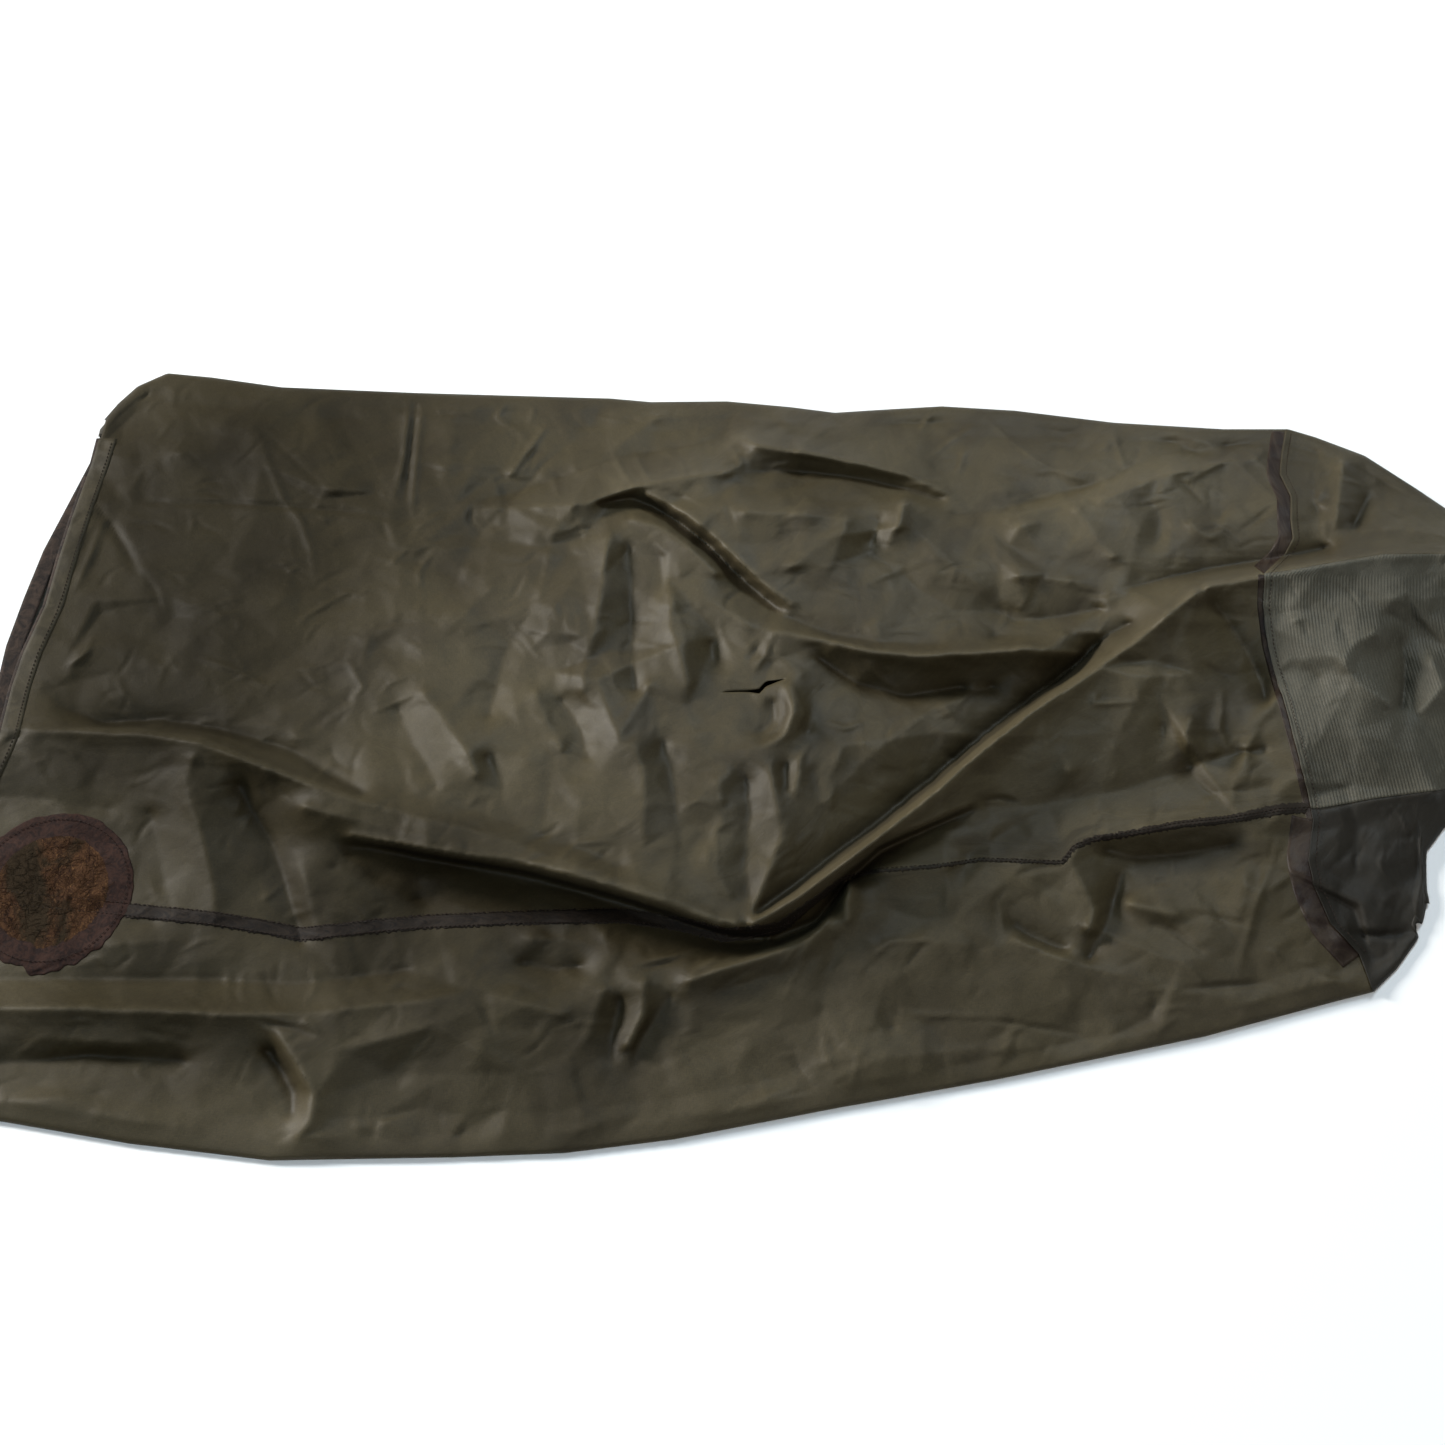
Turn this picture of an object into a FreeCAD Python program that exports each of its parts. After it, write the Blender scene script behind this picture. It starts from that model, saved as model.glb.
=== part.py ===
import FreeCAD, Part
import os

import Sketcher

# A waterproof bivy sack, lying slack on the ground.
#
# Frame: +X runs from the open mouth to the foot, +Y to the far long edge, +Z up.
# The origin is the centre of the footprint, on the ground.
#
# The sack is a flat lower sheet with an upper side that stands over it as a low,
# facetted arch. Four stations along X give the arch its shape: the mouth end, the
# fold line, the cross seam and the foot end. Every panel, tape, hem and row of
# stitching is a strip of that arch at its own depth, so neighbours meet face to face.

doc = FreeCAD.newDocument("bivy_sack")
sheet = doc.addObject("Spreadsheet::Sheet", "sizes")

SIZES = {
    # Fabric and trim thicknesses and widths.
    "cloth": 2.0,                # one slack panel of laminate, creases included
    "tape": 1.0,
    "tape_width": 22.0,
    "cross_tape_width": 24.0,
    "hem": 1.6,
    "hem_width": 20.0,
    "thread": 0.5,
    "thread_width": 1.2,
    "thread_inset": 3.0,         # from the edge of a tape or hem to its stitching
    # Stations along X.
    "mouth_x": -925.0,
    "fold_x": -455.0,
    "cross_seam_x": 650.0,
    "foot_end_x": 917.0,
    "fold_gap": 0.6,
    "end_binding": 8.0,
    # From the fold line to the cross seam the section shrinks towards one axis.
    "taper_axis_y": 213.0,
    "foot_ratio": 0.76,
    # Section at the fold line: heights are of the panels' undersides over the lower sheet.
    "far_edge_y": 450.0,
    "edge_lap": 20.0,            # width of the flat lap along both long edges
    "far_slope_y": 300.0,
    "far_slope_rise": 52.0,
    "crest_y": 40.0,
    "crest_rise": 81.0,
    "seam_y": -215.0,
    "seam_rise": 60.0,
    "near_slope_y": -385.0,
    "near_slope_rise": 33.0,
    "near_edge_y": -460.0,
    # Section at the mouth end.
    "mouth_far_y": 473.5,
    "mouth_far_slope_y": 330.0,
    "mouth_far_slope_rise": 26.0,
    "mouth_crest_y": 40.0,
    "mouth_crest_rise": 38.0,
    "mouth_seam_y": -180.0,
    "mouth_seam_rise": 34.0,
    "mouth_near_slope_y": -350.0,
    "mouth_near_slope_rise": 22.0,
    "mouth_near_y": -432.0,
    # Section at the foot end.
    "foot_far_y": 190.0,
    "foot_lap": 10.0,
    "foot_far_slope_y": 150.0,
    "foot_crest_y": 85.0,
    "foot_seam_y": 25.0,
    "foot_near_slope_y": -5.0,
    "foot_near_y": -30.0,
    "foot_rise": 9.0,
    # Where the ribbed foot panel starts, as a share of the way from crest to far slope.
    "ribs_share": 0.5,
    # The mouth's edge in plan: the lower layer's lip, and how far the upper one stops short.
    "lip_far_x": -655.0,
    "lip_bend_x": -727.0,
    "lip_bend_y": 90.0,
    "lip_near_x": -925.0,
    "lip_overhang": 22.0,
    "lower_hem_width": 18.0,
    "inner_tape_width": 24.0,
    "inner_tape_setback": 26.0,
    "inner_tape_far_y": 400.0,
    "inner_tape_near_y": -375.0,
    # Round patch at the start of the long seam.
    "patch_x": -615.0,
    "patch_y": -187.0,
    "patch_radius": 78.0,
    "patch_ring_width": 22.0,
    "patch_cloth": 1.4,
    # Larger than the whole sack, for cuts that run off its edges.
    "clear_of_all": 1400.0,
}

for row, (alias, value) in enumerate(SIZES.items(), start=1):
    sheet.set(f"A{row}", alias)
    sheet.set(f"B{row}", str(value))
    sheet.setAlias(f"B{row}", alias)
doc.recompute()


def bound(words):
    """An expression on the sheet, from words that are the sheet's aliases."""
    for alias in sorted(SIZES, key=len, reverse=True):
        words = words.replace(f"[{alias}]", f"sizes.{alias}")
    return words


def number(words):
    """What such an expression comes to now."""
    return float(sheet.evalExpression(bound(words)))


# ---- Stations: where the arch's corners are, in words that bind to the sheet ----

FOLD_SECTION = {
    "far_edge": ("[far_edge_y]", "0"),
    "far_lap": ("([far_edge_y] - [edge_lap])", "0"),
    "far_slope": ("[far_slope_y]", "[far_slope_rise]"),
    "crest": ("[crest_y]", "[crest_rise]"),
    "seam": ("[seam_y]", "[seam_rise]"),
    "near_slope": ("[near_slope_y]", "[near_slope_rise]"),
    "near_lap": ("([near_edge_y] + [edge_lap])", "0"),
    "near_edge": ("[near_edge_y]", "0"),
}

MOUTH_SECTION = {
    "far_edge": ("[mouth_far_y]", "0"),
    "far_lap": ("([mouth_far_y] - [edge_lap])", "0"),
    "far_slope": ("[mouth_far_slope_y]", "[mouth_far_slope_rise]"),
    "crest": ("[mouth_crest_y]", "[mouth_crest_rise]"),
    "seam": ("[mouth_seam_y]", "[mouth_seam_rise]"),
    "near_slope": ("[mouth_near_slope_y]", "[mouth_near_slope_rise]"),
    "near_lap": ("([mouth_near_y] + [edge_lap])", "0"),
    "near_edge": ("[mouth_near_y]", "0"),
}

FOOT_END_SECTION = {
    "far_edge": ("[foot_far_y]", "0"),
    "far_lap": ("([foot_far_y] - [foot_lap])", "0"),
    "far_slope": ("[foot_far_slope_y]", "[foot_rise]"),
    "crest": ("[foot_crest_y]", "[foot_rise]"),
    "seam": ("[foot_seam_y]", "[foot_rise]"),
    "near_slope": ("[foot_near_slope_y]", "[foot_rise]"),
    "near_lap": ("([foot_near_y] + [foot_lap])", "0"),
    "near_edge": ("[foot_near_y]", "0"),
}


def station(x, section, shrink="1"):
    """A place along X: its section, and how much thinner the layers are drawn there."""
    return {"x": x, "section": section, "shrink": shrink}


def taper_station(x):
    """A station between the fold line and the cross seam, on straight lines to one point."""
    shrink = f"(1 - (1 - [foot_ratio]) * ({x} - [fold_x]) / ([cross_seam_x] - [fold_x]))"
    section = {}
    for corner, (y, rise) in FOLD_SECTION.items():
        section[corner] = (f"([taper_axis_y] + ({y} - [taper_axis_y]) * {shrink})", f"({rise} * {shrink})")
    return station(x, section, shrink)


MOUTH = station("[mouth_x]", MOUTH_SECTION)
FOLD_HEAD_SIDE = station("([fold_x] - [fold_gap])", FOLD_SECTION)
FOLD = taper_station("[fold_x]")
TAPE_START = taper_station("([cross_seam_x] - [cross_tape_width])")
CROSS_SEAM = taper_station("[cross_seam_x]")
FOOT_END = station("[foot_end_x]", FOOT_END_SECTION, "[foot_ratio]")


def share(start, end, part):
    """A line of the arch between two of its corners, `part` of the way across the panel."""
    return start, end, part


def corner_at(place, corner):
    """The (y, rise) words of a corner, or of a shared line, at a station."""
    if isinstance(corner, str):
        return place["section"][corner]
    start, end, part = corner
    start_y, start_rise = place["section"][start]
    end_y, end_rise = place["section"][end]
    y = f"({start_y} + ({end_y} - {start_y}) * {part})"
    rise = f"({start_rise} + ({end_rise} - {start_rise}) * {part})"
    return y, rise


def off_seam(distance, side):
    """The line that runs beside the long seam, `distance` from it at the fold line."""
    width = "([crest_y] - [seam_y])" if side == "crest" else "([seam_y] - [near_slope_y])"
    return share("seam", side, f"(({distance}) / {width})")


# ---- Making the bodies ----

def origin_plane(body, role):
    return next(feature for feature in body.Origin.OriginFeatures if feature.Role == role)


def closed_sketch(body, name, role, corners, offset="0"):
    """A closed polygon on one of the body's own planes, each corner bound to the sheet."""
    sketch = body.newObject("Sketcher::SketchObject", name)
    sketch.AttachmentSupport = [(origin_plane(body, role), "")]
    sketch.MapMode = "FlatFace"
    sketch.setExpression("AttachmentOffset.Base.z", bound(offset))
    places = [FreeCAD.Vector(number(first), number(second), 0) for first, second in corners]
    count = len(places)
    for index in range(count):
        sketch.addGeometry(Part.LineSegment(places[index], places[(index + 1) % count]), False)
    for index in range(count):
        sketch.addConstraint(Sketcher.Constraint("Coincident", index, 2, (index + 1) % count, 1))
    for index, (first, second) in enumerate(corners):
        for kind, words in (("DistanceX", first), ("DistanceY", second)):
            constraint = sketch.addConstraint(Sketcher.Constraint(kind, -1, 1, index, 1, number(words)))
            label = f"{kind[-1].lower()}{index}"
            sketch.renameConstraint(constraint, label)
            sketch.setExpression(f"Constraints.{label}", bound(words))
    return sketch


def add_circle(sketch, radius):
    """The round patch's centre with a given radius, added to a sketch in plan."""
    centre = FreeCAD.Vector(number("[patch_x]"), number("[patch_y]"), 0)
    index = sketch.addGeometry(Part.Circle(centre, FreeCAD.Vector(0, 0, 1), number(radius)), False)
    bindings = (
        ("patch_x", Sketcher.Constraint("DistanceX", -1, 1, index, 3, centre.x), "[patch_x]"),
        ("patch_y", Sketcher.Constraint("DistanceY", -1, 1, index, 3, centre.y), "[patch_y]"),
        ("round", Sketcher.Constraint("Radius", index, number(radius)), radius),
    )
    for label, constraint, words in bindings:
        sketch.renameConstraint(sketch.addConstraint(constraint), label)
        sketch.setExpression(f"Constraints.{label}", bound(words))


def section_corners(place, corners, low, high):
    """The closed outline of one layer of the arch at a station, from depth low to high."""
    under = []
    over = []
    for corner in corners:
        y, rise = corner_at(place, corner)
        under.append((y, f"[cloth] + {rise} + ({low}) * {place['shrink']}"))
        over.append((y, f"[cloth] + {rise} + ({high}) * {place['shrink']}"))
    return under + over[::-1]


def strip(label, start, end, corners, low, high):
    """A strip of the arch between two stations, as thick as its layer."""
    body = doc.addObject("PartDesign::Body", label)
    doc.recompute()
    sketches = []
    for end_name, place in (("start", start), ("end", end)):
        outline = section_corners(place, corners, low, high)
        sketches.append(closed_sketch(body, f"{label}_{end_name}", "YZ_Plane", outline, place["x"]))
    loft = body.newObject("PartDesign::AdditiveLoft", f"{label}_loft")
    loft.Profile = sketches[0]
    loft.Sections = [sketches[1]]
    loft.Ruled = True
    doc.recompute()
    return body


def plate(label, corners, low, high):
    """A flat piece with a plan outline, between two heights."""
    body = doc.addObject("PartDesign::Body", label)
    doc.recompute()
    sketch = closed_sketch(body, f"{label}_plan", "XY_Plane", corners, low)
    pad = body.newObject("PartDesign::Pad", f"{label}_pad")
    pad.Profile = sketch
    pad.setExpression("Length", bound(f"({high}) - ({low})"))
    doc.recompute()
    return body


def cut_in_plan(body, name, corners, circle=None):
    """Cut a plan outline, less a circle if one is given, straight through the piece."""
    before = body.Shape.Volume
    sketch = closed_sketch(body, f"{body.Label}_{name}", "XY_Plane", corners)
    if circle is not None:
        add_circle(sketch, circle)
    return through_pocket(body, name, sketch, before)


def cut_disc(body, name, radius):
    """Cut a vertical cylinder about the round patch's centre out of the piece."""
    before = body.Shape.Volume
    sketch = body.newObject("Sketcher::SketchObject", f"{body.Label}_{name}")
    sketch.AttachmentSupport = [(origin_plane(body, "XY_Plane"), "")]
    sketch.MapMode = "FlatFace"
    add_circle(sketch, radius)
    return through_pocket(body, name, sketch, before)


def through_pocket(body, name, sketch, before):
    pocket = body.newObject("PartDesign::Pocket", f"{body.Label}_{name}_pocket")
    pocket.Profile = sketch
    pocket.Type = "ThroughAll"
    pocket.SideType = "Symmetric"
    doc.recompute()
    if not 0 < body.Shape.Volume < before:
        raise RuntimeError(f"{body.Label}: {name} did not cut")
    return body


def group(label, bodies):
    """Several separate solids that share one node."""
    compound = doc.addObject("Part::Compound", label)
    compound.Links = bodies
    doc.recompute()
    return compound


# ---- Outlines in plan ----

def lip_line(setback):
    """The mouth's edge in plan, from the far side to the near side, moved in by setback."""
    return [
        (f"[lip_far_x] + {setback}", "[mouth_far_y]"),
        (f"[lip_bend_x] + {setback}", "[lip_bend_y]"),
        (f"[lip_near_x] + {setback}", "[mouth_near_y]"),
    ]


def outside_lip(setback):
    """Everything beyond the mouth's edge."""
    line = lip_line(setback)
    far, near = line[0][0], line[-1][0]
    return (
        [(far, "[clear_of_all]")] + line + [(near, "-[clear_of_all]")]
        + [("-[clear_of_all]", "-[clear_of_all]"), ("-[clear_of_all]", "[clear_of_all]")]
    )


def inside_lip(setback):
    """Everything on the sack's side of a line that follows the mouth's edge."""
    line = lip_line(setback)
    far, near = line[0][0], line[-1][0]
    return (
        [(far, "[clear_of_all]")] + line + [(near, "-[clear_of_all]")]
        + [("[clear_of_all]", "-[clear_of_all]"), ("[clear_of_all]", "[clear_of_all]")]
    )


def lip_x(y, setback):
    """How far along X the mouth's edge is at a given y, on its far or its near run."""
    far_side = number(y) > number("[lip_bend_y]")
    end_x, end_y = ("[lip_far_x]", "[mouth_far_y]") if far_side else ("[lip_near_x]", "[mouth_near_y]")
    way = f"({y} - [lip_bend_y]) / ({end_y} - [lip_bend_y])"
    return f"[lip_bend_x] + ({end_x} - [lip_bend_x]) * {way} + {setback}"


def lip_band(far_y, near_y, setback, width):
    """A band that follows the mouth's edge between two values of y."""
    outer = [(lip_x(y, setback), y) for y in (far_y, "[lip_bend_y]", near_y)]
    inner = [(f"{x} + {width}", y) for x, y in outer]
    return outer + inner[::-1]


def floor_between(start, end):
    """The plan of the lower sheet between two stations."""
    return [
        (start["x"], corner_at(start, "near_edge")[0]),
        (end["x"], corner_at(end, "near_edge")[0]),
        (end["x"], corner_at(end, "far_edge")[0]),
        (start["x"], corner_at(start, "far_edge")[0]),
    ]


def all_round():
    """A square larger than the sack."""
    reach = "[clear_of_all]"
    return [(f"-{reach}", f"-{reach}"), (reach, f"-{reach}"), (reach, reach), (f"-{reach}", reach)]


def mouth_side_of_patch():
    """Everything from the patch's centre towards the mouth."""
    reach = "[clear_of_all]"
    return [(f"-{reach}", f"-{reach}"), ("[patch_x]", f"-{reach}"), ("[patch_x]", reach), (f"-{reach}", reach)]


# ---- Layers: depths over the underside of the panels ----

ON_CLOTH = "[cloth]"
ON_TAPE = "[cloth] + [tape]"
ON_HEM = "[cloth] + [hem]"
ON_PATCH = "[cloth] + [patch_cloth]"

UPPER_PANEL = ["far_edge", "far_lap", "far_slope", "crest", "seam"]
NEAR_PANEL = ["seam", "near_slope", "near_lap", "near_edge"]
RIBS_LINE = share("crest", "far_slope", "[ribs_share]")
OVER_THE_ARCH = ["far_lap", "far_slope", "crest", "seam", "near_slope", "near_lap"]
SEAM_TAPE = [off_seam("[tape_width] / 2", "crest"), "seam", off_seam("[tape_width] / 2", "near_slope")]


def stitch_strip(side):
    """One row of stitching along the long seam tape, on the given side of the seam."""
    outer = "[tape_width] / 2 - [thread_inset]"
    return [off_seam(outer, side), off_seam(f"{outer} - [thread_width]", side)]


# ---- The sack, from the fold line to the cross seam ----

def make_bag():
    upper = strip("upper_sheet", FOLD, CROSS_SEAM, UPPER_PANEL, "0", ON_CLOTH)
    near = strip("near_sheet", FOLD, CROSS_SEAM, NEAR_PANEL, "0", ON_CLOTH)
    lower = plate("lower_sheet", floor_between(FOLD, CROSS_SEAM), "0", "[cloth]")
    tape = strip("long_seam_tape", FOLD, TAPE_START, SEAM_TAPE, ON_CLOTH, ON_TAPE)
    rows = []
    for side in ("crest", "near_slope"):
        label = f"long_seam_row_{side}"
        rows.append(strip(label, FOLD, TAPE_START, stitch_strip(side), ON_TAPE, f"{ON_TAPE} + [thread]"))
    return [upper, near, lower, tape, group("long_seam_stitches", rows)]


def make_cross_seam():
    upper_corners = ["far_lap", "far_slope", "crest", "seam"]
    near_corners = ["seam", "near_slope", "near_lap"]
    upper = strip("cross_seam_tape_upper", TAPE_START, CROSS_SEAM, upper_corners, ON_CLOTH, ON_TAPE)
    near = strip("cross_seam_tape_near", TAPE_START, CROSS_SEAM, near_corners, ON_CLOTH, ON_TAPE)
    inside = []
    for place, lap, slope in ((TAPE_START, "near_lap", "near_slope"), (CROSS_SEAM, "near_lap", "near_slope"),
                              (CROSS_SEAM, "far_lap", "far_slope"), (TAPE_START, "far_lap", "far_slope")):
        inside.append((place["x"], corner_at(place, share(lap, slope, "0.2"))[0]))
    lower = plate("cross_seam_tape_lower", inside, "[cloth]", "[cloth] + [tape]")
    rows = []
    first_rows = ("[thread_inset]", "([cross_tape_width] - [thread_inset] - [thread_width])")
    for index, setback in enumerate(first_rows):
        start = taper_station(f"([cross_seam_x] - {setback} - [thread_width])")
        end = taper_station(f"([cross_seam_x] - {setback})")
        label = f"cross_seam_row_{index + 1}"
        rows.append(strip(label, start, end, OVER_THE_ARCH, ON_TAPE, f"{ON_TAPE} + [thread]"))
    return [upper, near, lower, group("cross_seam_stitches", rows)]


def make_foot():
    far_corners = ["far_edge", "far_lap", "far_slope", RIBS_LINE]
    upper = strip("foot_upper_sheet", CROSS_SEAM, FOOT_END, far_corners, "0", ON_CLOTH)
    ribbed = strip("foot_ribbed_panel", CROSS_SEAM, FOOT_END, [RIBS_LINE, "crest", "seam"], "0", ON_CLOTH)
    near = strip("foot_near_sheet", CROSS_SEAM, FOOT_END, NEAR_PANEL, "0", ON_CLOTH)
    lower = plate("foot_lower_sheet", floor_between(CROSS_SEAM, FOOT_END), "0", "[cloth]")
    end = [
        ("[foot_end_x]", "[foot_near_y]"),
        ("[foot_end_x] + [end_binding]", "[foot_near_y]"),
        ("[foot_end_x] + [end_binding]", "[foot_far_y]"),
        ("[foot_end_x]", "[foot_far_y]"),
    ]
    top = "[cloth] + [foot_rise] + [cloth] * [foot_ratio]"
    binding = plate("foot_end_binding", end, "0", top)
    return [upper, ribbed, near, lower, binding]


# ---- The head end, from the mouth to the fold line ----

def head_strip(label, corners, low, high, setback="[lip_overhang]"):
    """A strip of the head end's arch, trimmed to the upper layer's mouth edge."""
    body = strip(label, MOUTH, FOLD_HEAD_SIDE, corners, low, high)
    return cut_in_plan(body, "mouth_edge", outside_lip(setback))


def make_head_sheets():
    upper = head_strip("upper_sheet_head", UPPER_PANEL, "0", ON_CLOTH)
    near = head_strip("near_sheet_head", NEAR_PANEL, "0", ON_CLOTH)
    lower = plate("lower_sheet_head", floor_between(MOUTH, FOLD_HEAD_SIDE), "0", "[cloth]")
    cut_in_plan(lower, "mouth_edge", outside_lip("0"))
    return [upper, near, lower]


def make_mouth():
    hem = head_strip("mouth_hem_upper", OVER_THE_ARCH, ON_CLOTH, ON_HEM)
    cut_in_plan(hem, "inner_edge", inside_lip("[lip_overhang] + [hem_width]"))
    row_setback = "[lip_overhang] + [hem_width] - [thread_inset]"
    row = head_strip("hem_stitches_upper", OVER_THE_ARCH, ON_HEM, f"{ON_HEM} + [thread]",
                     f"{row_setback} - [thread_width]")
    cut_in_plan(row, "inner_edge", inside_lip(row_setback))
    lower_hem = plate("mouth_hem_lower", lip_band("([mouth_far_y] - [edge_lap])", "([mouth_near_y] + [edge_lap])",
                                                  "0", "[lower_hem_width]"), "[cloth]", ON_HEM)
    lower_row = plate("hem_stitches_lower", lip_band("([mouth_far_y] - [edge_lap])",
                                                     "([mouth_near_y] + [edge_lap])",
                                                     "[lower_hem_width] - [thread_inset]", "[thread_width]"),
                      ON_HEM, f"{ON_HEM} + [thread]")
    inner = plate("mouth_inner_tape", lip_band("[inner_tape_far_y]", "[inner_tape_near_y]",
                                               "[inner_tape_setback]", "[inner_tape_width]"),
                  "[cloth]", "[cloth] + [tape]")
    return [hem, row, lower_hem, lower_row, inner]


def make_head_seam():
    """The head end's short run of the long seam, from the patch's rim to the fold line."""
    pieces = []
    runs = [("long_seam_tape_head", SEAM_TAPE, ON_CLOTH, ON_TAPE)]
    for side in ("crest", "near_slope"):
        runs.append((f"long_seam_row_head_{side}", stitch_strip(side), ON_TAPE, f"{ON_TAPE} + [thread]"))
    for label, corners, low, high in runs:
        body = strip(label, MOUTH, FOLD_HEAD_SIDE, corners, low, high)
        cut_in_plan(body, "beyond_patch", mouth_side_of_patch())
        cut_disc(body, "patch", "[patch_radius]")
        pieces.append(body)
    return [pieces[0], group("long_seam_stitches_head", pieces[1:])]


def patch_layer(label, low, high, outer, inner=None):
    """A ring or a disc about the patch's centre, lying on the arch."""
    body = strip(label, MOUTH, FOLD_HEAD_SIDE, ["crest", "seam", "near_slope"], low, high)
    cut_in_plan(body, "rim", all_round(), outer)
    if inner is not None:
        cut_disc(body, "hole", inner)
    return body


def make_patch():
    ring_inside = "[patch_radius] - [patch_ring_width]"
    row_outside = "[patch_radius] - [thread_inset]"
    ring = patch_layer("round_patch_ring", ON_CLOTH, ON_PATCH, "[patch_radius]", ring_inside)
    centre = patch_layer("round_patch_centre", ON_CLOTH, ON_PATCH, ring_inside)
    row = patch_layer("round_patch_stitches", ON_PATCH, f"{ON_PATCH} + [thread]", row_outside,
                      f"{row_outside} - [thread_width]")
    return [ring, centre, row]


def check_objects():
    """Stop if anything in the document failed to build."""
    for item in doc.Objects:
        if "Invalid" in item.State or "Error" in item.State:
            raise RuntimeError(f"{item.Label} failed: {item.State}")


def write_parts(pieces):
    for piece in pieces:
        if piece.Shape.isNull() or not piece.Shape.isValid() or not piece.Shape.Solids:
            raise RuntimeError(f"{piece.Label} has no valid solid")
    os.makedirs("parts", exist_ok=True)
    for piece in pieces:
        piece.Shape.exportStep(f"parts/{piece.Label}.step")


sub_parts = (
    make_bag() + make_cross_seam() + make_foot()
    + make_head_sheets() + make_mouth() + make_head_seam() + make_patch()
)
doc.recompute()
check_objects()
write_parts(sub_parts)
print(f"{len(sub_parts)} sub-parts written")
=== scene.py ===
import math

import bpy
import numpy as np
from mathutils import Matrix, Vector
from mathutils.geometry import delaunay_2d_cdt


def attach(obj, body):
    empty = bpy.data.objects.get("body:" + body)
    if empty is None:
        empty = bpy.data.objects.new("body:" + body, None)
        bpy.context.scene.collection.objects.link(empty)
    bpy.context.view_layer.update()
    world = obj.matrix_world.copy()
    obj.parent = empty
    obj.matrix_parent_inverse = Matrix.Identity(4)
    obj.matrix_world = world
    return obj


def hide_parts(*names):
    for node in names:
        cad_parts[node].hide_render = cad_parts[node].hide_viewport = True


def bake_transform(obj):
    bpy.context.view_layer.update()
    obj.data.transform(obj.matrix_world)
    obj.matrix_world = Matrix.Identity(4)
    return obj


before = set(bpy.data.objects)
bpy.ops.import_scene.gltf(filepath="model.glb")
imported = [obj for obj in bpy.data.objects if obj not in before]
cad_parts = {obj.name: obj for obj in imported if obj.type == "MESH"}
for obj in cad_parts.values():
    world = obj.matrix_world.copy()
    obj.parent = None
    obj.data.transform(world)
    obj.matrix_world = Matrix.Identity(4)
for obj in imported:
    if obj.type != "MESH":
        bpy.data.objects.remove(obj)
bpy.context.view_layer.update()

RANDOM = np.random.default_rng(7)
MM = 0.001

# ---- Camera ----
# The sack is seen from 60 degrees above the ground, square on to its long side.

TARGET = np.array((0.045, 0.005, 0.0))
VIEW_DISTANCE = 2.25
VIEW_ELEVATION = math.radians(60)
EYE = TARGET + VIEW_DISTANCE * np.array((0.0, -math.cos(VIEW_ELEVATION), math.sin(VIEW_ELEVATION)))
LENS_MM = 54.0
DRAWN_AT = 30 * MM     # the folds are laid out on a level this high, as the camera sees them


def make_camera():
    data = bpy.data.cameras.new("camera")
    data.lens = LENS_MM
    data.sensor_width = 36.0
    camera = bpy.data.objects.new("camera", data)
    bpy.context.collection.objects.link(camera)
    camera.location = EYE
    camera.rotation_euler = (math.pi / 2 - VIEW_ELEVATION, 0, 0)
    bpy.context.scene.camera = camera


# ---- The sack's outline, as seen, in metres ----
# (x, y) points; the far and near edges run from the mouth to the foot.

FAR_EDGE = [
    (-0.96, 0.362), (-0.648, 0.362), (-0.628, 0.398), (-0.61, 0.422), (-0.58, 0.44), (-0.53, 0.434),
    (-0.45, 0.42), (-0.3, 0.412), (-0.08, 0.404), (-0.035, 0.399), (0.05, 0.4), (0.12, 0.392),
    (0.17, 0.384), (0.22, 0.388), (0.29, 0.393), (0.37, 0.387), (0.48, 0.37), (0.6, 0.361), (0.672, 0.361),
    (0.7, 0.35), (0.75, 0.325), (0.8, 0.28), (0.85, 0.232), (0.885, 0.18), (0.905, 0.125), (0.96, 0.125),
]
NEAR_EDGE = [
    (-0.96, -0.385), (-0.905, -0.392), (-0.8, -0.412), (-0.62, -0.436), (-0.5, -0.457), (-0.37, -0.473),
    (-0.2, -0.47), (-0.1, -0.466), (0.0, -0.453), (0.15, -0.423), (0.3, -0.395), (0.5, -0.352),
    (0.63, -0.316), (0.665, -0.307), (0.69, -0.284), (0.718, -0.25), (0.73, -0.215), (0.738, -0.16),
    (0.76, -0.133), (0.82, -0.08), (0.87, -0.025), (0.905, 0.02), (0.96, 0.02),
]
# (y, x) points of the edges that cross the sack, from the near side to the far side.
UPPER_LIP = [
    (-0.4, -0.868), (-0.33, -0.836), (-0.25, -0.786), (-0.18, -0.742), (-0.1, -0.706), (-0.03, -0.69),
    (0.03, -0.687), (0.07, -0.682), (0.13, -0.668), (0.19, -0.663), (0.25, -0.656), (0.317, -0.646),
    (0.38, -0.64),
]
LOWER_LIP = [
    (-0.4, -0.895), (-0.33, -0.862), (-0.25, -0.812), (-0.18, -0.768), (-0.1, -0.728), (-0.03, -0.706),
    (0.03, -0.703), (0.08, -0.701), (0.14, -0.692), (0.2, -0.681), (0.26, -0.664), (0.317, -0.648),
    (0.38, -0.644),
]
CROSS_SEAM = [
    (-0.33, 0.672), (-0.27, 0.66), (-0.238, 0.637), (-0.2, 0.627), (-0.17, 0.625), (-0.125, 0.636),
    (-0.09, 0.634), (-0.04, 0.63), (0.0, 0.626), (0.04, 0.621), (0.08, 0.617), (0.13, 0.618),
    (0.168, 0.624), (0.19, 0.646), (0.215, 0.66), (0.24, 0.661), (0.27, 0.665), (0.3, 0.657), (0.33, 0.663),
    (0.37, 0.674),
]
FOOT_END = [(-0.050, 0.890), (0.020, 0.906), (0.070, 0.911), (0.120, 0.906), (0.190, 0.880)]
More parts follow.
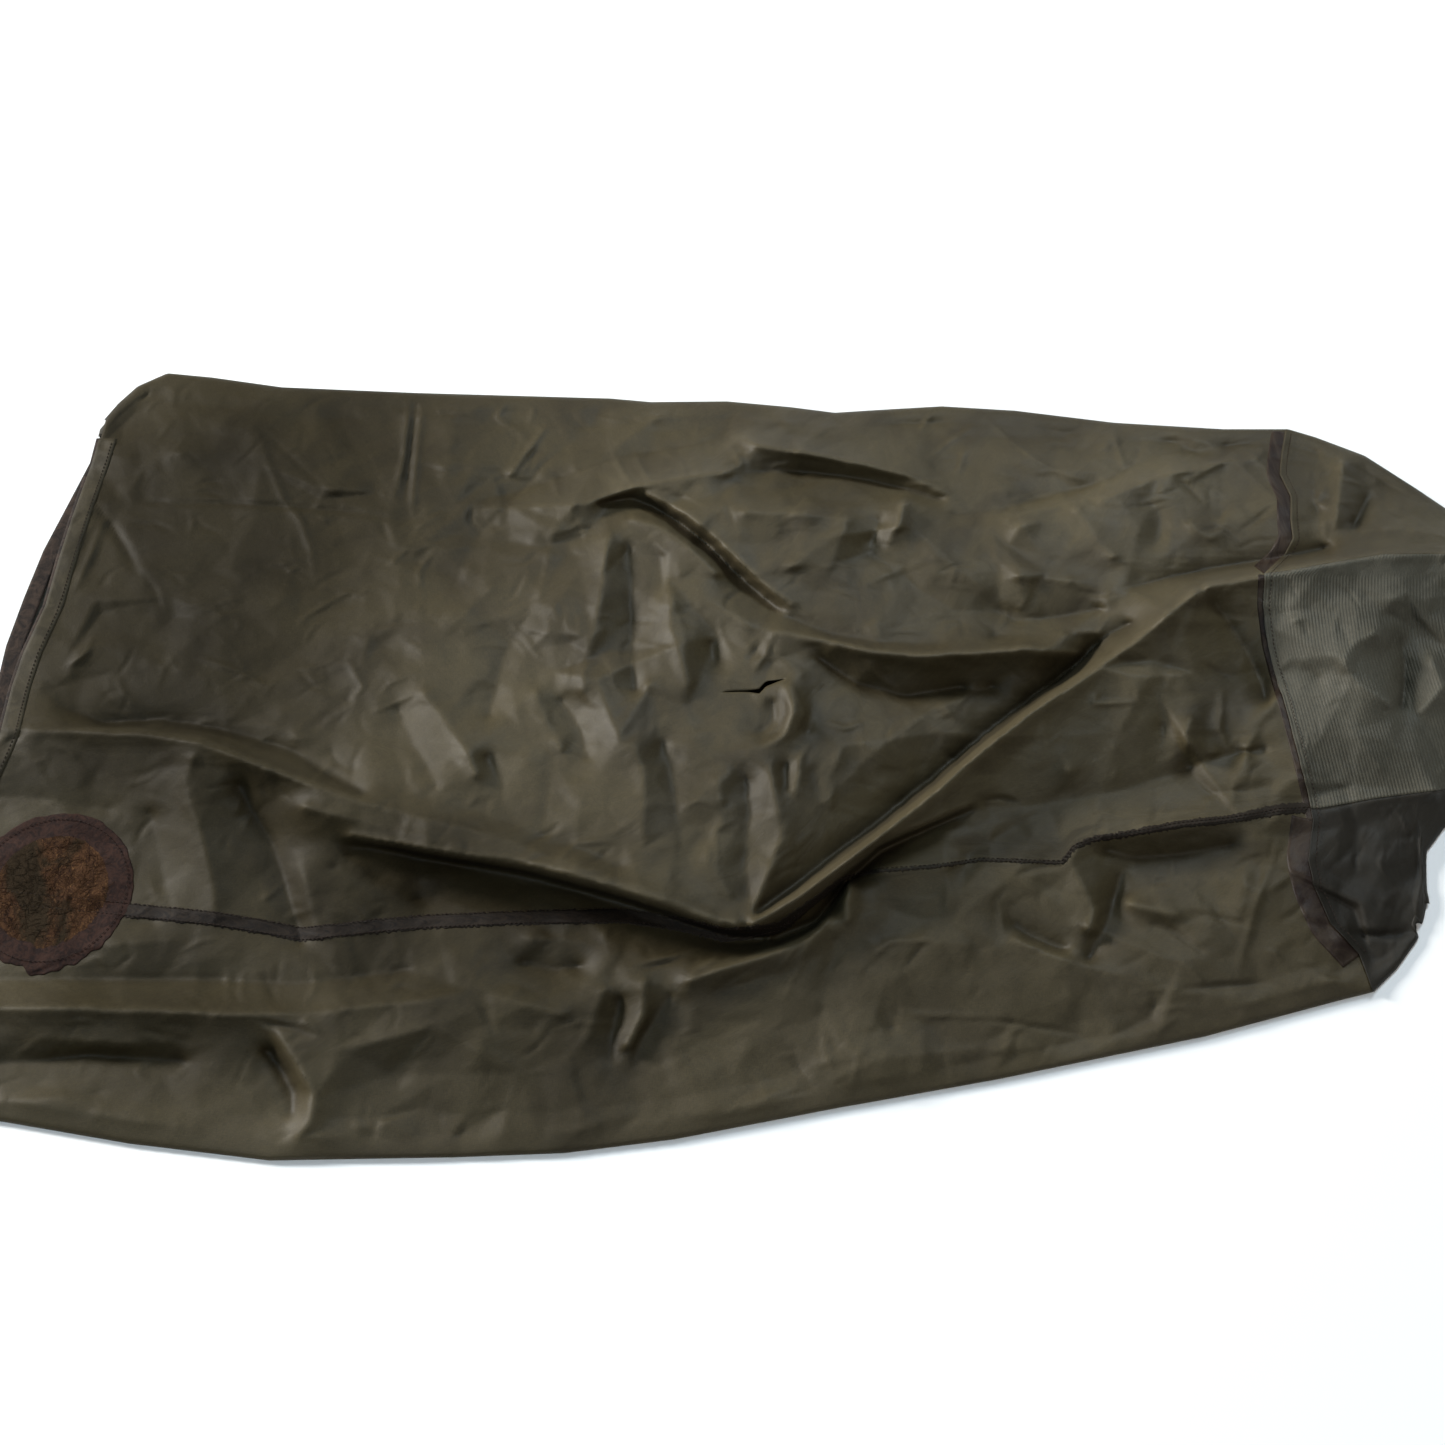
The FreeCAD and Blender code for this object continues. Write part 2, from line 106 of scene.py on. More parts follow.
LONG_SEAM = [
    (-0.96, -0.2), (-0.7, -0.205), (-0.535, -0.226), (-0.45, -0.235), (-0.4, -0.244), (-0.362, -0.252),
    (-0.3, -0.244), (-0.25, -0.239), (-0.15, -0.234), (-0.05, -0.232), (0.0, -0.24), (0.05, -0.253),
    (0.1, -0.243), (0.13, -0.218), (0.165, -0.188), (0.2, -0.181), (0.25, -0.177), (0.3, -0.169),
    (0.38, -0.172), (0.393, -0.155), (0.41, -0.147), (0.45, -0.14), (0.5, -0.13), (0.55, -0.124),
    (0.6, -0.114), (0.64, -0.112), (0.7, -0.1), (0.77, -0.09), (0.86, -0.005), (0.905, 0.045),
    (0.96, 0.045),
]
RIBS_FAR_EDGE = [
    (0.5, 0.1), (0.555, 0.154), (0.62, 0.168), (0.68, 0.181), (0.75, 0.195), (0.82, 0.196), (0.87, 0.15),
    (0.905, 0.105), (0.96, 0.105),
]


def along(points):
    """A function that reads a polyline of (at, value) points."""
    at, value = np.array(points, float).T
    return lambda where: np.interp(where, at, value)


far_edge, near_edge, long_seam, ribs_far_edge = map(along, (FAR_EDGE, NEAR_EDGE, LONG_SEAM, RIBS_FAR_EDGE))
upper_lip, lower_lip, cross_seam, foot_end = map(along, (UPPER_LIP, LOWER_LIP, CROSS_SEAM, FOOT_END))

# ---- Folds: ridges and valleys with their heights ----
# Each is a run of (x, y, height in mm) points.

FOLDS = {
    # the rolled ridge from the mouth to the tip of the V
    "roll_crest": [(-0.72, -0.02, 34), (-0.6, -0.022, 44), (-0.545, -0.025, 50), (-0.485, -0.035, 57),
        (-0.4, -0.072, 60), (-0.3, -0.11, 63), (-0.2, -0.138, 66), (-0.1, -0.175, 66), (0.0, -0.213, 60),
        (0.066, -0.244, 50)],
    "behind_roll": [(-0.665, 0.036, 31), (-0.62, 0.002, 27), (-0.585, -0.014, 25), (-0.53, -0.01, 26),
        (-0.48, -0.018, 29), (-0.43, -0.032, 30), (-0.39, -0.047, 34), (-0.35, -0.075, 42),
        (-0.31, -0.097, 52)],
    "behind_arm": [(-0.29, -0.088, 55), (-0.2, -0.114, 58), (-0.12, -0.146, 59), (-0.05, -0.178, 58)],
    "roll_belly": [(-0.38, -0.108, 60), (-0.3, -0.13, 62), (-0.2, -0.155, 65), (-0.1, -0.184, 65),
        (0.0, -0.218, 59)],
    "roll_lip": [(-0.33, -0.14, 55), (-0.3, -0.147, 57), (-0.25, -0.157, 59), (-0.2, -0.167, 60),
        (-0.15, -0.176, 60), (-0.1, -0.189, 60), (-0.05, -0.205, 59), (0.0, -0.222, 56),
        (0.05, -0.243, 49)],
    "under_roll": [(-0.345, -0.15, 44), (-0.3, -0.155, 36), (-0.25, -0.166, 27), (-0.2, -0.176, 19),
        (-0.15, -0.186, 16), (-0.1, -0.2, 13), (-0.05, -0.216, 11), (0.0, -0.235, 9), (0.05, -0.253, 9),
        (0.09, -0.255, 9)],
    # the flat in front of the roll, with the patch
    "roll_foot": [(-0.74, -0.095, 20), (-0.64, -0.1, 22), (-0.59, -0.11, 23), (-0.56, -0.114, 25)],
    "pull_valley": [(-0.445, -0.078, 42), (-0.427, -0.112, 32), (-0.404, -0.148, 24), (-0.386, -0.188, 18),
        (-0.373, -0.225, 14), (-0.36, -0.262, 12)],
    "pull_left": [(-0.53, -0.11, 30), (-0.515, -0.15, 26), (-0.5, -0.2, 22)],
    "pull_ridge": [(-0.49, -0.045, 59), (-0.495, -0.075, 53), (-0.49, -0.1, 47), (-0.476, -0.13, 42),
        (-0.464, -0.165, 37), (-0.453, -0.2, 32), (-0.446, -0.24, 25)],
    "hollow": [(-0.378, -0.148, 34), (-0.366, -0.185, 29), (-0.355, -0.22, 24), (-0.345, -0.25, 20)],
    "panel": [(-0.34, -0.17, 31), (-0.32, -0.215, 27), (-0.3, -0.24, 24)],
    "patch_far": [(-0.7, -0.15, 18), (-0.6, -0.14, 20), (-0.54, -0.16, 20)],
    "patch_near": [(-0.7, -0.24, 16), (-0.6, -0.245, 17), (-0.5, -0.235, 18)],
    "shaded_flat": [(-0.26, -0.21, 19), (-0.15, -0.212, 17), (-0.08, -0.222, 14)],
    # the near side, left of the V's tip
    "near_swell": [(-0.57, -0.262, 19), (-0.49, -0.255, 21), (-0.42, -0.266, 19), (-0.362, -0.266, 17)],
    "near_trough": [(-0.72, -0.3, 14), (-0.6, -0.295, 14), (-0.45, -0.296, 15), (-0.36, -0.3, 16),
        (-0.25, -0.285, 17)],
    "near_ridge": [(-0.78, -0.318, 20), (-0.7, -0.324, 25), (-0.6, -0.326, 31), (-0.5, -0.328, 32),
        (-0.4, -0.333, 31), (-0.36, -0.333, 28), (-0.3, -0.325, 30), (-0.24, -0.318, 31),
        (-0.19, -0.306, 30), (-0.145, -0.322, 29), (-0.098, -0.334, 28)],
    "shine_ridge": [(-0.74, -0.35, 18), (-0.6, -0.355, 20), (-0.52, -0.362, 19), (-0.45, -0.358, 18)],
    "shine_valley": [(-0.7, -0.385, 9), (-0.6, -0.379, 8), (-0.55, -0.372, 8), (-0.45, -0.38, 8)],
    "shine_edge": [(-0.65, -0.42, 9), (-0.57, -0.416, 11), (-0.52, -0.432, 9), (-0.44, -0.44, 8)],
    "crescent": [(-0.378, -0.346, 27), (-0.352, -0.385, 25), (-0.336, -0.41, 22), (-0.335, -0.435, 18),
        (-0.35, -0.464, 9)],
    "crescent_inside": [(-0.388, -0.362, 11), (-0.366, -0.388, 7), (-0.353, -0.412, 6),
        (-0.354, -0.437, 5)],
    "panel_edge": [(-0.098, -0.334, 25), (-0.132, -0.37, 20), (-0.166, -0.41, 14), (-0.205, -0.458, 6)],
    "bowl": [(-0.155, -0.276, 12), (-0.12, -0.286, 10), (-0.085, -0.282, 11)],
    "bowl_rim": [(-0.15, -0.252, 19), (-0.1, -0.256, 19), (-0.05, -0.27, 20)],
    "glint_ridge": [(-0.065, -0.3, 27), (-0.075, -0.325, 26), (-0.083, -0.355, 22), (-0.105, -0.38, 18),
        (-0.128, -0.402, 14)],
    "beside_glints": [(-0.052, -0.31, 18), (-0.057, -0.345, 14), (-0.06, -0.385, 9)],
    "tongue": [(-0.03, -0.29, 29), (-0.03, -0.33, 25), (-0.046, -0.37, 17)],
    "tongue_valley": [(0.0, -0.307, 21), (-0.02, -0.336, 16), (-0.037, -0.366, 11), (-0.036, -0.392, 8)],
    # the near side, right of the tip
    "tip_ridge": [(0.005, -0.3, 30), (0.045, -0.285, 33), (0.085, -0.272, 34), (0.125, -0.255, 35),
        (0.152, -0.228, 37)],
    "tip_slope": [(0.03, -0.315, 23), (0.07, -0.3, 23), (0.12, -0.285, 25)],
    "knee": [(0.172, -0.187, 44), (0.163, -0.215, 41), (0.168, -0.24, 36)],
    "knee_left": [(0.157, -0.245, 29), (0.148, -0.29, 22), (0.136, -0.34, 14)],
    "knee_right": [(0.18, -0.268, 25), (0.195, -0.315, 18), (0.208, -0.353, 12)],
    "seam_dip": [(0.19, -0.2, 33), (0.212, -0.222, 26), (0.238, -0.232, 25), (0.275, -0.228, 26)],
    "seam_line": [(0.19, -0.181, 40), (0.25, -0.177, 38), (0.3, -0.169, 36), (0.37, -0.171, 34)],
    "shelf": [(0.23, -0.255, 29), (0.3, -0.262, 26)],
    "near_roll": [(-0.04, -0.44, 9), (0.05, -0.43, 10), (0.12, -0.413, 12), (0.19, -0.376, 17),
        (0.26, -0.368, 17), (0.35, -0.366, 13)],
    "under_gap": [(0.09, -0.256, 9), (0.135, -0.238, 11), (0.158, -0.204, 14), (0.18, -0.178, 18),
        (0.2, -0.158, 24), (0.25, -0.133, 33), (0.3, -0.11, 41)],
    # the long ridge from the tip to the summit, and the deep valley behind it
    "strap_crest": [(0.066, -0.244, 50), (0.12, -0.208, 56), (0.16, -0.176, 60), (0.2, -0.143, 63),
        (0.26, -0.09, 66), (0.3, -0.052, 67), (0.36, 0.0, 69), (0.42, 0.042, 71), (0.48, 0.088, 75),
        (0.552, 0.152, 82)],
    "strap_lip": [(0.12, -0.216, 47), (0.16, -0.184, 50), (0.2, -0.151, 53), (0.25, -0.127, 52),
        (0.3, -0.103, 49)],
    "deep_valley": [(0.075, -0.228, 42), (0.12, -0.194, 34), (0.16, -0.16, 29), (0.2, -0.128, 25),
        (0.26, -0.075, 22), (0.3, -0.038, 21), (0.36, 0.013, 22), (0.41, 0.054, 27), (0.44, 0.088, 40),
        (0.48, 0.112, 50)],
    "valley_side": [(0.14, -0.11, 46), (0.19, -0.055, 42), (0.25, -0.003, 34), (0.33, 0.034, 25)],
    "ledge": [(0.082, 0.102, 55), (0.11, 0.096, 58), (0.15, 0.087, 60), (0.2, 0.073, 62), (0.25, 0.068, 62),
        (0.3, 0.07, 61), (0.36, 0.076, 56), (0.42, 0.07, 40)],
    "below_ledge": [(0.14, 0.07, 48), (0.18, 0.036, 39), (0.23, 0.018, 31), (0.3, 0.032, 23)],
    "behind_ledge": [(0.11, 0.12, 47), (0.16, 0.094, 50), (0.205, 0.084, 54), (0.28, 0.082, 54)],
    # flank of the strap and the foot of the summit
    "flank_crease": [(0.3, -0.107, 43), (0.345, -0.109, 40), (0.4, -0.1, 37), (0.45, -0.089, 36),
        (0.5, -0.071, 36), (0.55, -0.052, 37), (0.6, -0.042, 36)],
    "summit_ridge": [(0.552, 0.152, 82), (0.527, 0.095, 69), (0.506, 0.05, 61), (0.482, 0.01, 56),
        (0.462, -0.03, 50)],
    "summit_valley": [(0.56, 0.142, 70), (0.574, 0.113, 52), (0.588, 0.08, 40), (0.6, 0.045, 33),
        (0.606, 0.01, 31)],
    "knob": [(0.527, -0.002, 54), (0.515, -0.028, 54), (0.522, -0.045, 48)],
    "knob_gap": [(0.545, 0.01, 47), (0.538, -0.03, 45), (0.546, -0.055, 40)],
    "knob_left": [(0.495, -0.01, 48), (0.492, -0.045, 43)],
    "side_streak": [(0.62, 0.025, 44), (0.592, -0.015, 44), (0.577, -0.045, 42), (0.562, -0.08, 40),
        (0.549, -0.118, 38)],
    "flank_knob": [(0.388, -0.048, 58), (0.395, -0.07, 52)],
    "apron": [(0.43, -0.115, 36), (0.5, -0.1, 37), (0.6, -0.085, 37)],
    "seam_ridge": [(0.4, -0.148, 42), (0.45, -0.14, 41), (0.5, -0.13, 40), (0.55, -0.124, 39),
        (0.61, -0.113, 38)],
    "knuckle": [(0.4, -0.148, 43), (0.388, -0.168, 42), (0.398, -0.195, 37), (0.408, -0.222, 31),
        (0.398, -0.25, 25)],
    "seam_valley": [(0.418, -0.155, 31), (0.45, -0.167, 23), (0.5, -0.163, 21), (0.555, -0.151, 26)],
    "knuckle_valley": [(0.448, -0.17, 23), (0.434, -0.19, 20), (0.424, -0.222, 18), (0.41, -0.252, 16),
        (0.394, -0.28, 13)],
    "fin": [(0.436, -0.214, 31), (0.462, -0.222, 29), (0.495, -0.23, 26)],
    "fin_valley": [(0.455, -0.236, 21), (0.49, -0.25, 19), (0.512, -0.272, 16)],
    "hem_ridge": [(0.318, -0.25, 27), (0.36, -0.27, 24), (0.41, -0.288, 20), (0.445, -0.301, 18),
        (0.48, -0.309, 15), (0.52, -0.312, 12)],
    "hem_notch": [(0.323, -0.234, 20), (0.342, -0.25, 16), (0.38, -0.268, 15)],
    "seam_side": [(0.56, -0.18, 30), (0.548, -0.23, 24), (0.53, -0.28, 15)],
    # far side, mid sack
    "arch_foot": [(-0.225, 0.262, 24), (-0.15, 0.29, 22), (-0.072, 0.325, 22), (0.0, 0.338, 22),
        (0.056, 0.356, 24), (0.082, 0.341, 42), (0.15, 0.326, 45), (0.2, 0.314, 44), (0.25, 0.298, 41),
        (0.3, 0.268, 33)],
    "arch_crest": [(-0.22, 0.256, 27), (-0.16, 0.258, 36), (-0.1, 0.262, 44), (-0.05, 0.284, 50),
        (0.0, 0.297, 54), (0.045, 0.303, 54), (0.09, 0.306, 34), (0.15, 0.303, 33), (0.2, 0.293, 33),
        (0.25, 0.279, 32), (0.29, 0.264, 32)],
    "dome": [(0.06, 0.25, 60), (0.12, 0.25, 61), (0.18, 0.24, 59), (0.16, 0.18, 60), (0.11, 0.18, 60)],
    "dark_curve": [(-0.095, 0.262, 40), (-0.055, 0.27, 37), (-0.03, 0.258, 36), (0.0, 0.236, 35),
        (0.03, 0.207, 36), (0.06, 0.171, 37), (0.086, 0.142, 40), (0.11, 0.121, 44)],
    "dome_edge": [(-0.045, 0.279, 49), (-0.018, 0.264, 53), (0.01, 0.243, 56), (0.04, 0.213, 57),
        (0.07, 0.178, 57), (0.096, 0.15, 56), (0.125, 0.128, 54)],
    "curve_shoulder": [(-0.06, 0.245, 49), (-0.02, 0.23, 52), (0.01, 0.205, 54), (0.045, 0.165, 55)],
    "left_shelf": [(-0.29, 0.236, 29), (-0.22, 0.219, 30), (-0.15, 0.205, 33)],
    "shelf_rise": [(-0.15, 0.205, 33), (-0.11, 0.218, 40), (-0.078, 0.227, 47)],
    # upright folds across the middle
    "fold_a": [(-0.077, 0.225, 49), (-0.08, 0.19, 55), (-0.086, 0.12, 58), (-0.096, 0.06, 57),
        (-0.1, 0.02, 56)],
    "dip_a": [(-0.06, 0.215, 45), (-0.053, 0.17, 46), (-0.05, 0.1, 46), (-0.048, 0.05, 48),
        (-0.042, 0.02, 50)],
    "dip_b": [(-0.145, 0.192, 36), (-0.152, 0.15, 41), (-0.168, 0.1, 43), (-0.182, 0.07, 43),
        (-0.188, 0.03, 45), (-0.196, -0.01, 46)],
    "fold_b": [(-0.195, 0.16, 42), (-0.245, 0.095, 44), (-0.3, 0.04, 44), (-0.345, 0.0, 41)],
    "fold_c": [(-0.268, 0.03, 52), (-0.245, 0.0, 55), (-0.212, -0.05, 59), (-0.2, -0.08, 60)],
    "dip_c": [(-0.196, -0.045, 49), (-0.178, -0.085, 52), (-0.172, -0.118, 57)],
    "dip_c_left": [(-0.292, 0.01, 42), (-0.268, -0.04, 46), (-0.238, -0.095, 54)],
    "fold_d": [(-0.15, 0.03, 54), (-0.135, -0.01, 57), (-0.115, -0.05, 57)],
    "dip_d": [(-0.125, 0.02, 49), (-0.1, -0.02, 49), (-0.09, -0.06, 51)],
    "fold_e": [(-0.028, 0.04, 57), (-0.052, -0.012, 58), (-0.066, -0.035, 57)],
    "fold_e2": [(-0.045, -0.035, 58), (-0.035, -0.07, 60), (-0.033, -0.12, 62), (-0.035, -0.15, 62)],
    "dip_e": [(-0.018, -0.03, 49), (-0.008, -0.07, 50), (0.0, -0.12, 53), (0.005, -0.16, 56)],
    "fold_f": [(-0.012, 0.152, 56), (-0.01, 0.105, 59), (0.003, 0.065, 59), (0.012, 0.025, 57)],
    "facet_f": [(0.03, 0.09, 49), (0.04, 0.055, 48)],
    "flash_f": [(-0.003, 0.165, 53), (0.03, 0.137, 55), (0.06, 0.115, 57), (0.078, 0.097, 56)],
    "curl": [(0.112, 0.036, 57), (0.119, 0.002, 62), (0.109, -0.028, 62), (0.086, -0.041, 59),
        (0.052, -0.047, 56)],
    "curl_left": [(0.096, 0.02, 51), (0.098, -0.01, 51), (0.08, -0.028, 51)],
    "curl_right": [(0.133, 0.06, 50), (0.137, 0.01, 50), (0.132, -0.03, 49)],
    "pleat_a": [(0.126, -0.045, 59), (0.121, -0.075, 57), (0.116, -0.102, 53)],
    "pleat_b": [(0.092, -0.056, 59), (0.097, -0.092, 58), (0.104, -0.14, 55), (0.09, -0.182, 54),
        (0.07, -0.236, 51)],
    "pleat_c": [(0.04, -0.07, 56), (0.045, -0.12, 58), (0.03, -0.165, 61), (0.055, -0.215, 56)],
    "pleat_gap": [(0.108, -0.055, 52), (0.108, -0.095, 50)],
    "pleat_gap_b": [(0.068, -0.07, 50), (0.072, -0.12, 50), (0.066, -0.17, 51), (0.07, -0.215, 50)],
    "crow_foot": [(-0.425, 0.03, 33), (-0.4, -0.01, 35), (-0.385, -0.038, 38)],
    "crow_foot_b": [(-0.335, 0.02, 39), (-0.372, -0.015, 36), (-0.385, -0.038, 38)],
    "crow_dip": [(-0.36, -0.045, 37), (-0.32, -0.07, 44)],
    # far side towards the foot
    "front_edge": [(0.29, 0.246, 33), (0.35, 0.255, 31), (0.4, 0.274, 28), (0.44, 0.285, 25),
        (0.47, 0.296, 23), (0.5, 0.318, 18), (0.53, 0.329, 15), (0.58, 0.337, 12), (0.625, 0.345, 9),
        (0.668, 0.361, 5)],
    "front_rise": [(0.35, 0.24, 41), (0.42, 0.262, 40), (0.47, 0.272, 38), (0.52, 0.296, 33),
        (0.57, 0.312, 28), (0.64, 0.325, 20)],
    "streak_a": [(0.392, 0.238, 45), (0.366, 0.234, 47), (0.351, 0.205, 47)],
    "streak_b": [(0.425, 0.262, 44), (0.44, 0.235, 48), (0.45, 0.208, 50), (0.468, 0.186, 52)],
    "facet_edge": [(0.5, 0.276, 33), (0.519, 0.25, 33), (0.515, 0.222, 36), (0.502, 0.196, 40)],
    "facet_top": [(0.545, 0.24, 42), (0.57, 0.215, 44), (0.59, 0.24, 40)],
    "shade_band": [(0.465, 0.15, 44), (0.52, 0.166, 40), (0.58, 0.18, 37), (0.64, 0.19, 35),
        (0.7, 0.206, 33)],
    "shade_curve": [(0.265, 0.2, 50), (0.3, 0.16, 45), (0.33, 0.128, 39), (0.355, 0.112, 35),
        (0.4, 0.117, 34), (0.45, 0.128, 37)],
    "between": [(0.32, 0.092, 45), (0.38, 0.092, 42), (0.45, 0.098, 43)],
    "mound": [(0.35, 0.17, 50), (0.42, 0.16, 49)],
    "streak_c": [(0.243, 0.266, 51), (0.236, 0.236, 56), (0.221, 0.205, 55)],
    "streak_c_dip": [(0.222, 0.258, 47), (0.213, 0.23, 48), (0.2, 0.205, 49)],
    # foot
    "ribs_crest": [(0.552, 0.152, 82), (0.58, 0.158, 71), (0.62, 0.167, 68), (0.68, 0.18, 66),
        (0.75, 0.194, 61), (0.82, 0.196, 50), (0.87, 0.15, 30)],
    "ribs_bend": [(0.64, 0.11, 64), (0.7, 0.13, 62), (0.76, 0.14, 56)],
    "dent_ridge": [(0.735, 0.099, 60), (0.702, 0.082, 60), (0.69, 0.056, 58), (0.705, 0.03, 53),
        (0.736, 0.006, 44)],
    "dent_edge": [(0.753, 0.095, 44), (0.754, 0.06, 32), (0.748, 0.03, 26), (0.741, 0.0, 28)],
    "dent_far_side": [(0.78, 0.07, 46), (0.79, 0.03, 40), (0.755, -0.005, 36)],
    "ribs_ridge": [(0.68, -0.008, 46), (0.698, -0.045, 43), (0.712, -0.072, 38)],
    "ribs_fold": [(0.64, 0.03, 48), (0.662, 0.04, 48)],
    "ribs_near": [(0.64, -0.119, 37), (0.7, -0.101, 34), (0.77, -0.091, 26)],
    "near_foot": [(0.65, -0.16, 26), (0.7, -0.15, 20), (0.735, -0.14, 10)],
    "near_foot_fold": [(0.64, -0.238, 15), (0.68, -0.243, 11), (0.712, -0.246, 6)],
    "foot_light": [(0.728, 0.325, 20), (0.72, 0.29, 30), (0.711, 0.25, 38), (0.705, 0.224, 40)],
    "foot_dark": [(0.762, 0.3, 15), (0.742, 0.262, 20), (0.722, 0.228, 29)],
    "foot_fold": [(0.728, 0.222, 41), (0.76, 0.229, 43), (0.8, 0.224, 39), (0.835, 0.215, 31)],
    "foot_swell": [(0.69, 0.28, 26), (0.69, 0.24, 32)],
    "nose": [(0.83, 0.12, 38), (0.87, 0.095, 26), (0.9, 0.075, 12)],
    "nose_near": [(0.8, 0.0, 28), (0.84, 0.02, 20)],
    # the plain far panel and the mouth
    "far_plain": [(-0.56, 0.33, 20), (-0.45, 0.33, 20), (-0.35, 0.33, 20)],
    "far_plain_b": [(-0.58, 0.18, 28), (-0.48, 0.15, 30), (-0.4, 0.12, 32), (-0.33, 0.15, 33)],
    "far_plain_c": [(-0.6, 0.08, 31), (-0.52, 0.05, 33), (-0.46, 0.03, 33)],
    "far_band": [(-0.2, 0.36, 14), (0.0, 0.375, 11), (0.06, 0.38, 12), (0.11, 0.36, 24), (0.18, 0.352, 27),
        (0.3, 0.33, 24), (0.4, 0.33, 19), (0.46, 0.32, 19)],
    "mouth_edge": [(-0.866, -0.39, 7), (-0.836, -0.33, 13), (-0.786, -0.25, 17), (-0.742, -0.18, 19),
        (-0.706, -0.1, 21), (-0.694, -0.06, 30), (-0.69, -0.02, 35), (-0.687, 0.04, 27), (-0.668, 0.13, 26),
        (-0.663, 0.19, 23), (-0.656, 0.25, 17), (-0.646, 0.317, 8)],
}
EDGE_HEIGHT = 5.4        # mm, of the upper layer where it turns under along the outline

